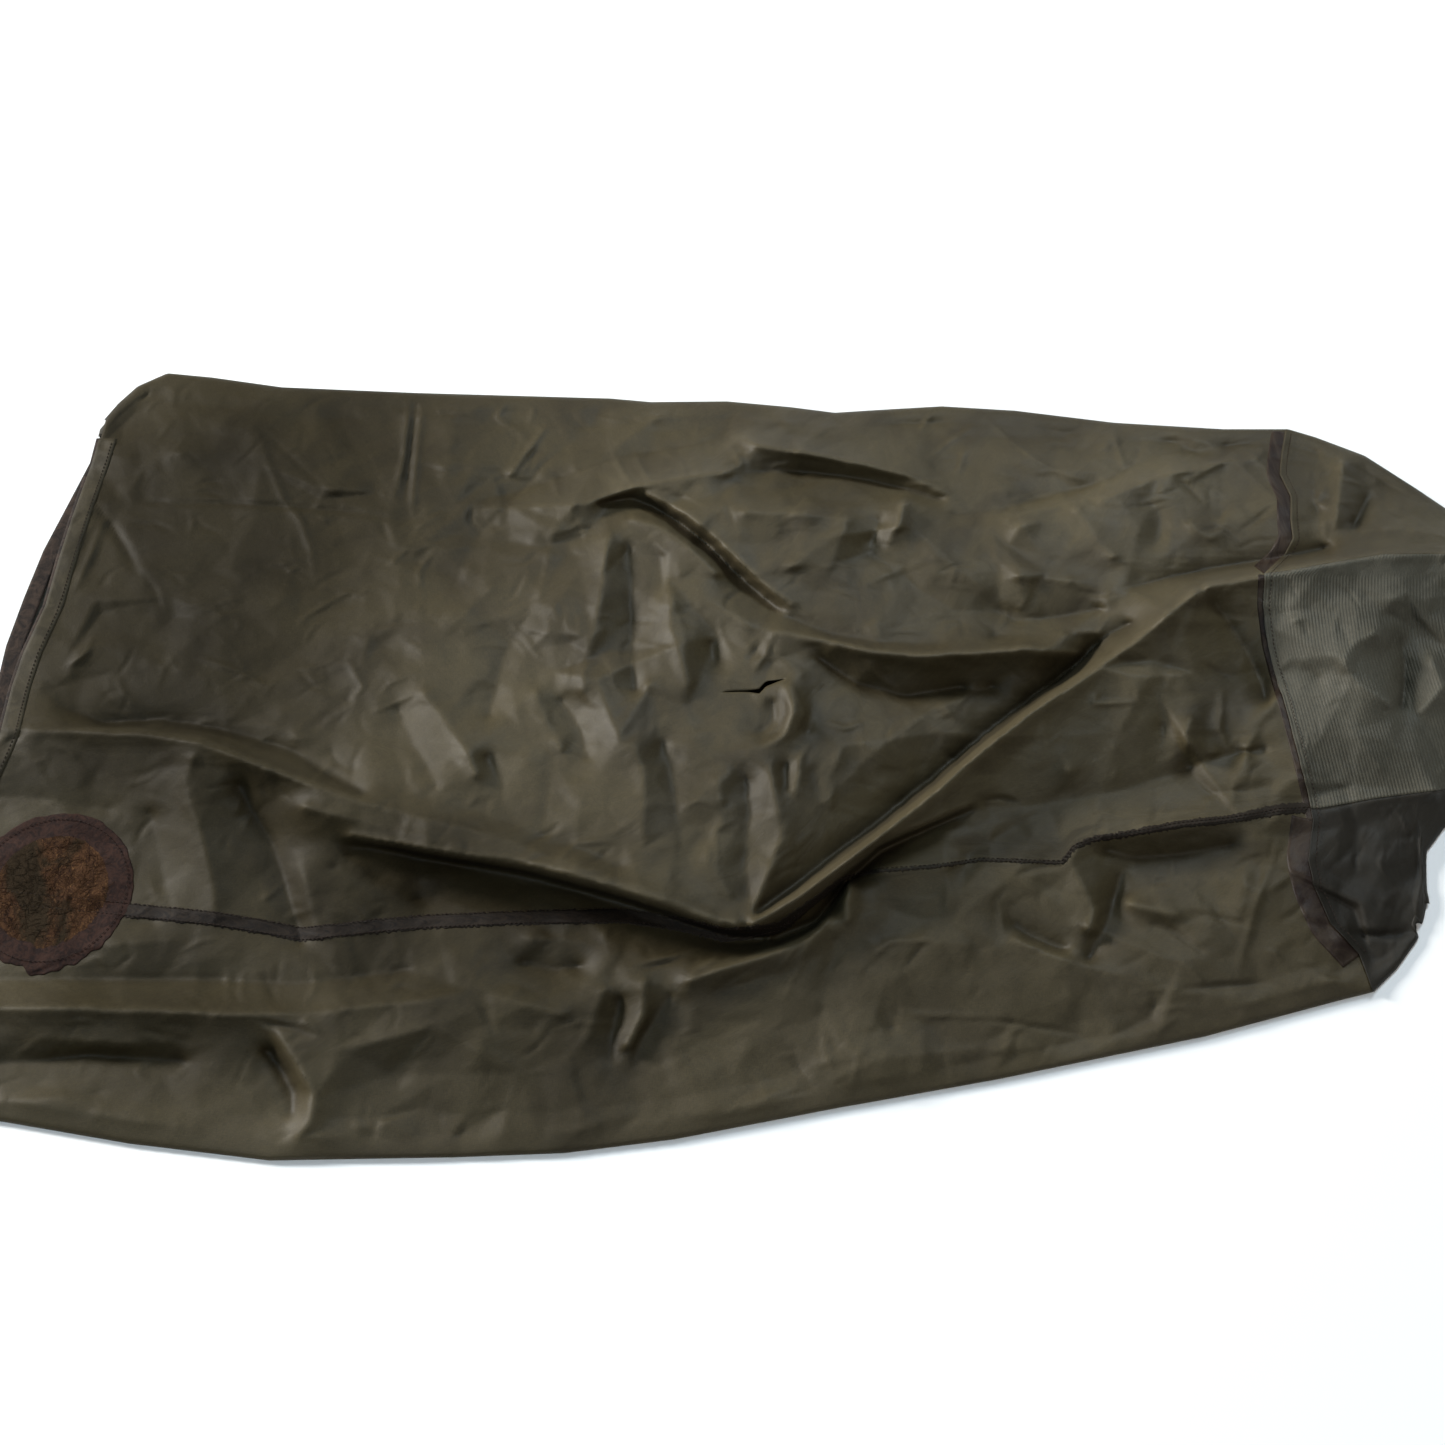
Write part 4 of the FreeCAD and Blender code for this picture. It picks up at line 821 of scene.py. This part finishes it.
TAPE_STAIN = ((-0.9, 1.0), (-0.25, 0.95), (0.10, 0.8), (0.17, 0.4), (0.30, 0.4), (0.42, 0.8), (0.65, 0.8))
TAPE_NEAR = ((-0.9, 0.005), (0.10, 0.005), (0.17, 0.0015), (0.36, 0.0015), (0.42, 0.003), (0.64, 0.005))
TAPE_FAR = ((-0.9, 0.010), (0.05, 0.010), (0.17, 0.002), (0.36, 0.002), (0.42, 0.004), (0.56, 0.005),
            (0.64, 0.009))


def ribbon(name, line, near_side, far_side, ragged=0.0, lift=0.5, thick=0.35, across=9, step=2.5 * MM,
           stained=((-1, 1), (1, 1))):
    """A tape laid on the upper layer along a drawn line of (x, y), its widths in metres."""
    line = run(line, step, 6)
    inside = (line[:, 1] < far_edge(line[:, 0]) - 1 * MM) & (line[:, 1] > near_edge(line[:, 0]) + 1 * MM)
    line = line[inside]
    heading = np.gradient(line[:, :2], axis=0)
    heading /= np.linalg.norm(heading, axis=1, keepdims=True)
    side = np.stack([-heading[:, 1], heading[:, 0]], 1)
    t = np.linspace(0, 1, across)[:, None]
    near_side, far_side = (w(line[:, 0]) if callable(w) else w for w in (near_side, far_side))
    t = -near_side * (1 - t) + far_side * t + ragged * MM * (
        RANDOM.normal(0, 1, len(line)) * t ** 4 - RANDOM.normal(0, 1, len(line)) * (1 - t) ** 4)
    x, y = line[:, 0] + side[:, 0] * t, line[:, 1] + side[:, 1] * t
    y = np.clip(y, near_edge(x) + 1 * MM, far_edge(x) - 1 * MM)
    crown = lift * MM * (1 - 0.55 * np.abs(2 * np.linspace(0, 1, across)[:, None] - 1) ** 6) + 0 * x
    top, out = on_top(x, y, crown)
    under = top - out * thick * MM
    marks = {"relief": read(RELIEF, CELL, x, y) / MM, "stained": np.interp(x, *zip(*stained))}
    return shell(name, top, under, cloth_lengths(top), marks)


def stitch_row(name, line, lift=0.9, long=3.0, gap=1.6, wide=0.42):
    """A row of short stitches along a drawn line of (x, y); sizes in mm."""
    line = run(line, 0.5 * MM, 2)
    inside = (line[:, 1] < far_edge(line[:, 0]) - 3 * MM) & (line[:, 1] > near_edge(line[:, 0]) + 3 * MM)
    line = line[inside]
    top, out = on_top(line[:, 0], line[:, 1], np.full(len(line), lift * MM))
    gone = np.concatenate([[0], np.cumsum(np.linalg.norm(np.diff(top, axis=0), axis=1))])
    points, faces = [], []
    rings = [(0.0, 0.35), (0.18, 0.9), (0.5, 1.0), (0.82, 0.9), (1.0, 0.35)]
    at = gap * MM
    while at + long * MM < gone[-1]:
        a = np.array([np.interp(at, gone, top[:, k]) for k in range(3)])
        b = np.array([np.interp(at + long * MM, gone, top[:, k]) for k in range(3)])
        up = np.array([np.interp(at, gone, out[:, k]) for k in range(3)])
        way = (b - a) / np.linalg.norm(b - a)
        side = np.cross(up, way)
        start = len(points)
        for share, size in rings:
            bow = 0.25 * MM * math.sin(math.pi * share)
            for k in range(6):
                turn = math.pi * k / 3
                points.append(a + (b - a) * share + up * bow
                              + (side * math.cos(turn) + up * math.sin(turn)) * wide * size * MM)
        for ring in range(len(rings) - 1):
            for k in range(6):
                p, q = start + ring * 6 + k, start + ring * 6 + (k + 1) % 6
                faces.append((p, p + 6, q + 6, q))
        for base, order in ((start, 1), (start + 24, -1)):
            for quad in ((0, 1, 2, 3), (0, 3, 4, 5)):
                faces.append(tuple(base + k for k in quad[::order]))
        at += (long + gap) * MM
    flat = np.array(points)[:, :2]
    return build(name, points, faces, flat, {"relief": np.zeros(len(points))})


# ---- Mouth, patch and foot end ----


def lip_band(name, edge, lower, upper, outer, inner, on_height, tall=1.0, step=3 * MM):
    """A hem turned round a lip: its outer face, the rounded edge and its inner face."""
    y = np.arange(lower, upper, step)
    around = [(share * outer, tall) for share in np.linspace(1, 0.12, 6)]
    around += [(-1.0 * MM, 0.7 * tall), (-1.5 * MM, 0.0), (-1.0 * MM, -0.7 * tall)]
    around += [(share * inner, -tall) for share in np.linspace(0.12, 1, 6)]
    faces = []
    for depth in (0.0, 0.35):
        rows = []
        for along_x, level in around:
            x = edge(y) + along_x
            base = on_height(x, y)
            rows.append(base + np.array((0, 0, 1)) * (level - depth * np.sign(level)) * MM
                        + np.array((1, 0, 0)) * (depth * MM if abs(level) < tall else 0))
        faces.append(np.array(rows))
    marks = {"relief": np.zeros(faces[0].shape[:2])}
    return shell(name, faces[0], faces[1], cloth_lengths(faces[0]), marks)


def upper_point(x, y):
    return seen_at(x, y, read(HEIGHT, CELL, x, y))


def lower_point(x, y):
    return seen_at(x, y, 1.6 * MM)


def inner_tape_point(x, y):
    """The band inside the mouth, on the upper layer's inner face, hanging a little."""
    return seen_at(x, y, 0.55 * read(HEIGHT, CELL, x, y))


PATCH_CENTRE = (-0.612, -0.201)
PATCH_RADIUS = 80 * MM
PATCH_RIM = 24 * MM


def patch_disc(name, inside, outside, lift, thick, ragged, rings, spokes=190):
    """A ring or disc laid on the cloth, its outer edge ragged by so many mm."""
    turn = np.linspace(math.pi, 3 * math.pi, spokes)
    low = np.clip(-np.sin(turn) - 0.25, 0, 1)
    rough = sum(np.sin(turn * k + 1.7 * k) / k ** 0.35 for k in (5, 9, 14, 23, 37)) / 3
    rough = rough * (0.35 + 1.3 * low) * ragged * MM
    t = np.linspace(0, 1, rings)[:, None]
    far = outside + rough
    reach = (inside * (1 - t) + far[None, :] * t) * (1 + 0.05 * low)
    x = PATCH_CENTRE[0] + reach * np.cos(turn)
    y = PATCH_CENTRE[1] + reach * np.sin(turn) * 1.05
    fibre = 0.22 * np.sin(turn * 61 + 3 * np.sin(reach * 300)) * np.sin(reach * 900 + 4 * np.sin(turn * 7))
    edge = 1 - 0.6 * np.clip(2 * t - 1, 0, 1) ** 8
    top, out = on_top(x[::-1], y[::-1], ((lift + fibre) * MM * edge)[::-1])
    under = top - out * thick * MM
    flat = np.stack([x[::-1], y[::-1]], -1)
    return shell(name, top, under, flat, {"relief": fibre[::-1]})


def make_fibres(name, count=420):
    """Worn threads that stand out of the patch's centre."""
    points, faces = [], []
    for _ in range(count):
        radius, turn = PATCH_RADIUS * 0.66 * math.sqrt(RANDOM.uniform()), RANDOM.uniform(0, 2 * math.pi)
        x, y = PATCH_CENTRE[0] + radius * math.cos(turn), PATCH_CENTRE[1] + radius * math.sin(turn)
        heading, bend = RANDOM.uniform(0, 2 * math.pi), RANDOM.normal(0, 0.9)
        long = RANDOM.uniform(5, 16) * MM
        share = np.linspace(0, 1, 6)
        path_x = x + long * share * np.cos(heading + bend * share)
        path_y = y + long * share * np.sin(heading + bend * share)
        top, out = on_top(path_x, path_y, (1.15 + 0.5 * np.sin(math.pi * share)) * MM)
        side = np.cross(out, np.gradient(top, axis=0))
        side /= np.linalg.norm(side, axis=1, keepdims=True)
        start = len(points)
        for at in range(6):
            size = 0.26 * MM * (1 - 0.5 * share[at])
            points += [top[at] - side[at] * size, top[at] + out[at] * size, top[at] + side[at] * size]
        for at in range(5):
            p = start + 3 * at
            faces += [(p, p + 3, p + 4, p + 1), (p + 1, p + 4, p + 5, p + 2), (p + 2, p + 5, p + 3, p)]
    return build(name, points, faces, np.array(points)[:, :2], {"relief": np.zeros(len(points))})


def make_foot_binding():
    """A folded tape bound over both layers at the foot's end."""
    y = np.linspace(0.022, 0.123, 70)
    around = [(-16, 6.4), (-10, 6.8), (-3, 6.6), (1.5, 5.4), (2.4, 3.6), (1.5, 1.8), (-3, 0.7), (-10, 0.5),
              (-16, 0.5)]
    middle, thick = 3.6 * MM, 0.4 * MM
    rows = [[], []]
    for out, z in around:
        x = foot_end(y) + out * MM
        level = np.maximum(read(HEIGHT, CELL, x, y) + 0.9 * MM, z * MM) if z > 5 else z * MM + 0 * y
        rows[0].append(seen_at(x, y, level))
        rows[1].append(seen_at(x - (thick if out > 0 else 0), y, level - np.sign(level - middle) * thick))
    top, under = np.array(rows[0]), np.array(rows[1])
    return shell("foot_end_binding_tape", top, under, cloth_lengths(top), {"relief": np.zeros(top.shape[:2])})


# ---- Materials ----


class Finish:
    """A material and short ways to add nodes to it."""

    def __init__(self, name, **constants):
        self.material = bpy.data.materials.new(name)
        self.material.use_nodes = True
        self.tree = self.material.node_tree
        self.shader = self.tree.nodes["Principled BSDF"]
        for label, value in constants.items():
            self.shader.inputs[label.replace("_", " ")].default_value = value
        self.flat = self.add("ShaderNodeUVMap", uv_map="flat").outputs["UV"]

    def add(self, kind, **settings):
        node = self.tree.nodes.new(kind)
        for label, value in settings.items():
            setattr(node, label, value)
        return node

    def put(self, socket, value):
        if hasattr(value, "is_linked"):
            self.tree.links.new(value, socket)
        else:
            socket.default_value = value

    def noise(self, scale, detail=4.0, rough=0.6, distortion=0.0, stretch=(1, 1, 1)):
        place = self.add("ShaderNodeMapping")
        self.put(place.inputs["Vector"], self.flat)
        place.inputs["Scale"].default_value = stretch
        node = self.add("ShaderNodeTexNoise")
        self.put(node.inputs["Vector"], place.outputs[0])
        constants = (("Scale", scale), ("Detail", detail), ("Roughness", rough), ("Distortion", distortion))
        for label, value in constants:
            node.inputs[label].default_value = value
        return node.outputs["Fac"]

    def waves(self, scale, direction, distortion=0.0):
        node = self.add("ShaderNodeTexWave", bands_direction=direction)
        self.put(node.inputs["Vector"], self.flat)
        node.inputs["Scale"].default_value = scale
        node.inputs["Distortion"].default_value = distortion
        return node.outputs["Fac"]

    def cells(self, scale, warp):
        """Distance to the edges of warped cells: creases of crumpled cloth."""
        bend = self.add("ShaderNodeMix", data_type="VECTOR")
        bend.inputs["Factor"].default_value = warp
        spread = self.add("ShaderNodeTexNoise")
        self.put(spread.inputs["Vector"], self.flat)
        spread.inputs["Scale"].default_value = scale * 0.6
        self.put(bend.inputs[4], self.flat)
        self.put(bend.inputs[5], spread.outputs["Color"])
        node = self.add("ShaderNodeTexVoronoi", feature="DISTANCE_TO_EDGE")
        self.put(node.inputs["Vector"], bend.outputs[1])
        node.inputs["Scale"].default_value = scale
        return node.outputs["Distance"]

    def ranged(self, value, low, high, to_low, to_high):
        node = self.add("ShaderNodeMapRange")
        for place, number in enumerate((value, low, high, to_low, to_high)):
            self.put(node.inputs[place], number)
        return node.outputs[0]

    def mark(self, label):
        return self.add("ShaderNodeAttribute", attribute_name=label).outputs["Fac"]

    def blend(self, share, a, b, kind="MIX"):
        node = self.add("ShaderNodeMix", data_type="RGBA", blend_type=kind)
        for place, value in ((0, share), (6, a), (7, b)):
            self.put(node.inputs[place], value)
        return node.outputs[2]

    def bump(self, *layers):
        """Layers of (height, strength, distance in mm)."""
        normal = None
        for height, strength, distance in layers:
            node = self.add("ShaderNodeBump")
            self.put(node.inputs["Height"], height)
            node.inputs["Strength"].default_value = strength
            node.inputs["Distance"].default_value = distance * MM
            if normal is not None:
                self.put(node.inputs["Normal"], normal)
            normal = node.outputs[0]
        self.put(self.shader.inputs["Normal"], normal)


def shade(red, green, blue):
    return (red, green, blue, 1.0)


def laminate(name, dark, light, worn, rough=(0.50, 0.62), grain=1.0):
    """Coated nylon cloth: mottled, a fine weave, small creases, paler worn ridges, painted shade in its
    hollows and spots of painted light and shade.
    """
    finish = Finish(name)
    clouds = finish.ranged(finish.noise(7, 5, 0.62, 0.6), 0.36, 0.64, 0.0, 1.0)
    base = finish.blend(clouds, dark, light)
    stains = finish.ranged(finish.noise(2.6, 3, 0.5, 1.2), 0.52, 0.66, 0.0, 0.35)
    base = finish.blend(stains, base, worn)
    ridge = finish.ranged(finish.mark("relief"), 0.4, 3.0, 0.0, 0.45)
    base = finish.blend(ridge, base, worn)
    # painted shade: hollows in the cloth's relief are darkened where shade would fall in them
    hollow = finish.ranged(finish.mark("relief"), -0.4, -3.5, 0.0, 0.5)
    base = finish.blend(hollow, base, tuple(0.55 * c for c in dark[:3]) + (1.0,))
    for stretch in ((1, 7, 1), (7, 1, 1)):
        threads = finish.ranged(finish.noise(170 * grain, 3, 0.7, 0.0, stretch), 0.3, 0.7, 0.0, 1.0)
        weave = finish.blend(threads, shade(0.62, 0.62, 0.62), shade(1.38, 1.38, 1.38))
        base = finish.blend(0.5, base, weave, "MULTIPLY")
    # Painted shade and painted light: the spots scale the colour, and the specular level drops with the
    # painted shade.
    painted_shading_factor = finish.mark("painted_shading")
    base = finish.blend(1.0, base, painted_shading_factor, "MULTIPLY")
    finish.put(finish.shader.inputs["Base Color"], base)
    finish.put(finish.shader.inputs["Specular IOR Level"], finish.ranged(painted_shading_factor, 0.5, 1.3, 0.10, 0.38))
    finish.put(finish.shader.inputs["Roughness"], finish.ranged(finish.noise(11, 4), 0.35, 0.65, *rough))
    finish.bump(
        (finish.cells(26, 0.010), 0.22, 2.0),
        (finish.noise(48, 5, 0.6, 0.8), 0.25, 1.6),
        (finish.noise(420 * grain, 3, 0.7, 0.0, (1, 4, 1)), 0.35, 0.5),
        (finish.noise(420 * grain, 3, 0.7, 0.0, (4, 1, 1)), 0.35, 0.5),
    )
    return finish.material


def banding(name, dark, light, scale=60, rough=0.6, stretch=(1, 1, 1), faded=None):
    """Tape and webbing: mottled with adhesive and worn spots."""
    finish = Finish(name, Specular_IOR_Level=0.15, Roughness=rough)
    blots = finish.ranged(finish.noise(scale, 6, 0.7, 1.5, stretch), 0.40, 0.60, 0.0, 1.0)
    base = finish.blend(blots, dark, light)
    if faded:
        base = finish.blend(finish.mark("stained"), faded, base)
    finish.put(finish.shader.inputs["Base Color"], base)
    finish.bump((finish.noise(scale * 3, 4, 0.7), 0.5, 1.0), (finish.waves(500, "X"), 0.2, 0.2))
    return finish.material


def fuzzy(name, dark, light, bright):
    """Worn fibrous cloth in three colours."""
    finish = Finish(name, Specular_IOR_Level=0.1, Roughness=0.9)
    mix = finish.ranged(finish.noise(26, 8, 0.75, 2.0, (2.4, 0.8, 1)), 0.40, 0.62, 0.0, 1.0)
    flecks = finish.ranged(finish.noise(120, 6, 0.8, 4.0), 0.52, 0.68, 0.0, 1.0)
    base = finish.blend(flecks, finish.blend(mix, dark, light), bright)
    matted = finish.ranged(finish.noise(12, 4, 0.6, 1.5, (1.4, 0.8, 1)), 0.46, 0.56, 0.9, 0.0)
    base = finish.blend(matted, base, shade(0.024, 0.0165, 0.0085))
    finish.put(finish.shader.inputs["Base Color"], base)
    finish.bump((finish.noise(160, 6, 0.8, 3.0), 0.9, 2.5), (finish.noise(700, 3), 0.5, 0.6))
    return finish.material


def plain_floor():
    finish = Finish("floor", Base_Color=shade(0.93, 0.93, 0.93), Roughness=0.9)
    return finish.material


# ---- The scene ----


def light(name, where, to, size, power, colour):
    data = bpy.data.lights.new(name, "AREA")
    data.shape, data.size, data.energy, data.color = "SQUARE", size, power, colour
    lamp = bpy.data.objects.new(name, data)
    bpy.context.collection.objects.link(lamp)
    lamp.location = where
    lamp.rotation_euler = (Vector(to) - Vector(where)).to_track_quat("-Z", "Y").to_euler()


def make_studio():
    corners = [(-9, -9, 0), (9, -9, 0), (9, 9, 0), (-9, 9, 0)]
    floor = build("floor", corners, [(0, 1, 2, 3)], np.array(corners)[:, :2])
    floor.data.materials.append(plain_floor())
    light("key", (-5.6, 2.6, 2.7), (0.3, 0, 0), 1.5, 670, (1.0, 0.975, 0.93))
    light("back", (1.7, 3.5, 4.4), (0.3, 0, 0), 1.7, 165, (0.80, 0.92, 1.0))
    light("window", (-1.9, -1.5, 3.9), (-0.5, -0.3, 0), 1.1, 42, (0.58, 0.82, 1.0))
    light("top", (1.6, -2.4, 4.0), (0.3, 0, 0), 2.2, 50, (1.0, 0.94, 0.86))
    world = bpy.data.worlds.new("studio")
    world.use_nodes = True
    world.node_tree.nodes["Background"].inputs["Color"].default_value = shade(0.95, 0.97, 1.0)
    world.node_tree.nodes["Background"].inputs["Strength"].default_value = 0.10
    bpy.context.scene.world = world
    bpy.context.scene.view_settings.view_transform = "Standard"


def dress(piece, material, slot, *nodes, body=None):
    piece.data.materials.append(material)
    if nodes:
        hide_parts(*nodes)
    if body:
        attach(piece, body)
    else:
        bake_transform(piece)
    return piece


def make_all():
    olive = laminate("olive_laminate", shade(0.034, 0.0255, 0.0115), shade(0.055, 0.0425, 0.0200),
                     shade(0.080, 0.063, 0.033))
    ground = laminate("ground_laminate", shade(0.027, 0.024, 0.016), shade(0.040, 0.035, 0.025),
                      shade(0.060, 0.055, 0.042))
    ribbed = laminate("ribbed_reinforcement", shade(0.048, 0.043, 0.029), shade(0.066, 0.059, 0.041),
                      shade(0.090, 0.082, 0.060), rough=(0.52, 0.62), grain=0.8)
    tape = banding("seam_tape", shade(0.006, 0.0037, 0.0028), shade(0.020, 0.013, 0.0085), 90, 0.65,
                   faded=shade(0.036, 0.031, 0.021))
    brown = banding("cross_tape", shade(0.017, 0.010, 0.0075), shade(0.036, 0.025, 0.017), 30, 0.45)
    thread = banding("thread", shade(0.016, 0.010, 0.008), shade(0.028, 0.018, 0.013), 300, 0.8)
    hem = banding("hem_binding", shade(0.027, 0.0215, 0.0120), shade(0.043, 0.0345, 0.020), 30, 0.6)
    inner = banding("inner_tape", shade(0.010, 0.0065, 0.0055), shade(0.038, 0.024, 0.017), 55, 0.7)
    rim = banding("patch_rim", shade(0.011, 0.0045, 0.0035), shade(0.031, 0.013, 0.0085), 110, 0.8)
    worn = fuzzy("patch_worn", shade(0.017, 0.0075, 0.0045), shade(0.070, 0.032, 0.015),
                 shade(0.17, 0.085, 0.034))

    sheets = make_sheets()
    lower = make_lower_sheet("lower_panel", inside_lower_hem, cross_seam, 300, 4 * MM)
    foot_lower = make_lower_sheet("foot_lower_panel", cross_seam, lambda y: foot_end(y) - 3 * MM, 60, 16 * MM)
    dress(sheets["upper_panel"], olive, "olive_laminate", "upper_sheet", "upper_sheet_head")
    dress(sheets["near_panel"], olive, "olive_laminate", "near_sheet", "near_sheet_head")
    dress(lower, ground, "olive_laminate", "lower_sheet", "lower_sheet_head")
    dress(sheets["foot_upper_panel"], olive, "olive_laminate", "foot_upper_sheet", body="bag")
    dress(sheets["foot_ribs_sheet"], ribbed, "ribbed_reinforcement", "foot_ribbed_panel", body="bag")
    # painted shade: a darker copy of the olive laminate for the near foot piece, standing in for the shade
    # that piece lies in
    shaded_olive = laminate("painted_shade_laminate", shade(0.012, 0.0098, 0.0062), shade(0.020, 0.0162, 0.0105),
                   shade(0.032, 0.026, 0.0175))
    dress(sheets["foot_near_panel"], shaded_olive, "olive_laminate", "foot_near_sheet", body="bag")
    dress(foot_lower, ground, "olive_laminate", "foot_lower_sheet", body="bag")

    seam = [p for p in LONG_SEAM if -0.70 < p[0] < 0.63]
    seam = [(-0.752, -0.203)] + seam + [(0.632, -0.112)]
    tapes = [dress(ribbon("long_seam_tape_strip", seam, along(TAPE_NEAR), along(TAPE_FAR), ragged=0.7,
                          step=1.6 * MM, stained=TAPE_STAIN), tape, "seam_tape",
                   "long_seam_tape", "long_seam_tape_head")]
    for label, shift in (("a", 0.010), ("b", -0.003)):
        line = [(x, y + (shift if x < 0.1 else 0.2 * shift)) for x, y in seam]
        nodes = ("long_seam_stitches", "long_seam_stitches_head") if label == "a" else ()
        tapes.append(dress(stitch_row("long_seam_thread_" + label, line), thread, "thread", *nodes))

    edge = [(x, y) for y, x in CROSS_SEAM]
    far_part = [p for p in edge if p[1] > 0.165]
    strap_part = [p for p in edge if -0.13 < p[1] < 0.17]
    near_part = [p for p in edge if -0.28 < p[1] < -0.12]
    for name, line, wide, node in (
        ("cross_tape_far", far_part, 17, "cross_seam_tape_upper"),
        ("cross_tape_middle", strap_part, 9, "cross_seam_tape_near"),
        ("cross_tape_near", near_part, 24, "cross_seam_tape_lower"),
    ):
        dress(ribbon(name, line, 3 * MM, wide * MM), brown, "seam_tape", node, body="bag")
        row = [(x + 4 * MM, y) for x, y in line]
        nodes = ("cross_seam_stitches",) if name.endswith("far") else ()
        dress(stitch_row(name + "_thread", row, lift=2.6), thread, "thread", *nodes, body="bag")

    for node, lip, point, inside, cloth, tall in (
        ("mouth_hem_upper", upper_lip, upper_point, 18, hem, 0.55),
        ("mouth_hem_lower", lower_lip, lower_point, 16, inner, 1.0),
    ):
        band = lip_band(node + "_band", lip, -0.385, 0.352, 18 * MM, inside * MM, point, tall)
        dress(band, cloth, "hem_binding", node, body="head_end")
    near_to_far = np.linspace(-0.38, 0.345, 30)
    upper_row = [(float(upper_lip(y)) + 14 * MM, y) for y in near_to_far]
    dress(stitch_row("hem_thread_upper", upper_row, lift=0.9), thread, "thread",
                      "hem_stitches_upper", "hem_stitches_lower", body="head_end")
    liner = lip_band("mouth_inner_band", lambda y: upper_lip(y) - 3 * MM, -0.35, 0.30, 16 * MM, 14 * MM,
                     inner_tape_point, 0.8)
    dress(liner, inner, "seam_tape", "mouth_inner_tape", body="head_end")

    disc = patch_disc("patch_worn_centre", 1 * MM, PATCH_RADIUS - PATCH_RIM + 2 * MM, 1.15, 0.5, 5.0, 60)
    ring = patch_disc("patch_rim_ring", PATCH_RADIUS - PATCH_RIM - 6 * MM, PATCH_RADIUS, 0.8, 0.6, 7.5, 30)
    threads = make_fibres("patch_fibres")
    patch = [dress(disc, worn, "patch_worn", "round_patch_centre", body="head_end"),
             dress(ring, rim, "patch_rim", "round_patch_ring", body="head_end"),
             dress(threads, worn, "patch_worn", body="head_end")]
    turn = np.linspace(0, 2 * math.pi, 90)
    around = [(PATCH_CENTRE[0] + 0.074 * math.cos(a), PATCH_CENTRE[1] + 0.077 * math.sin(a)) for a in turn]
    patch.append(dress(stitch_row("patch_thread", around, lift=1.5), thread, "thread", "round_patch_stitches",
                       body="head_end"))
    foot_binding = dress(make_foot_binding(), tape, "hem_binding", "foot_end_binding", body="bag")


make_camera()
make_studio()
make_all()
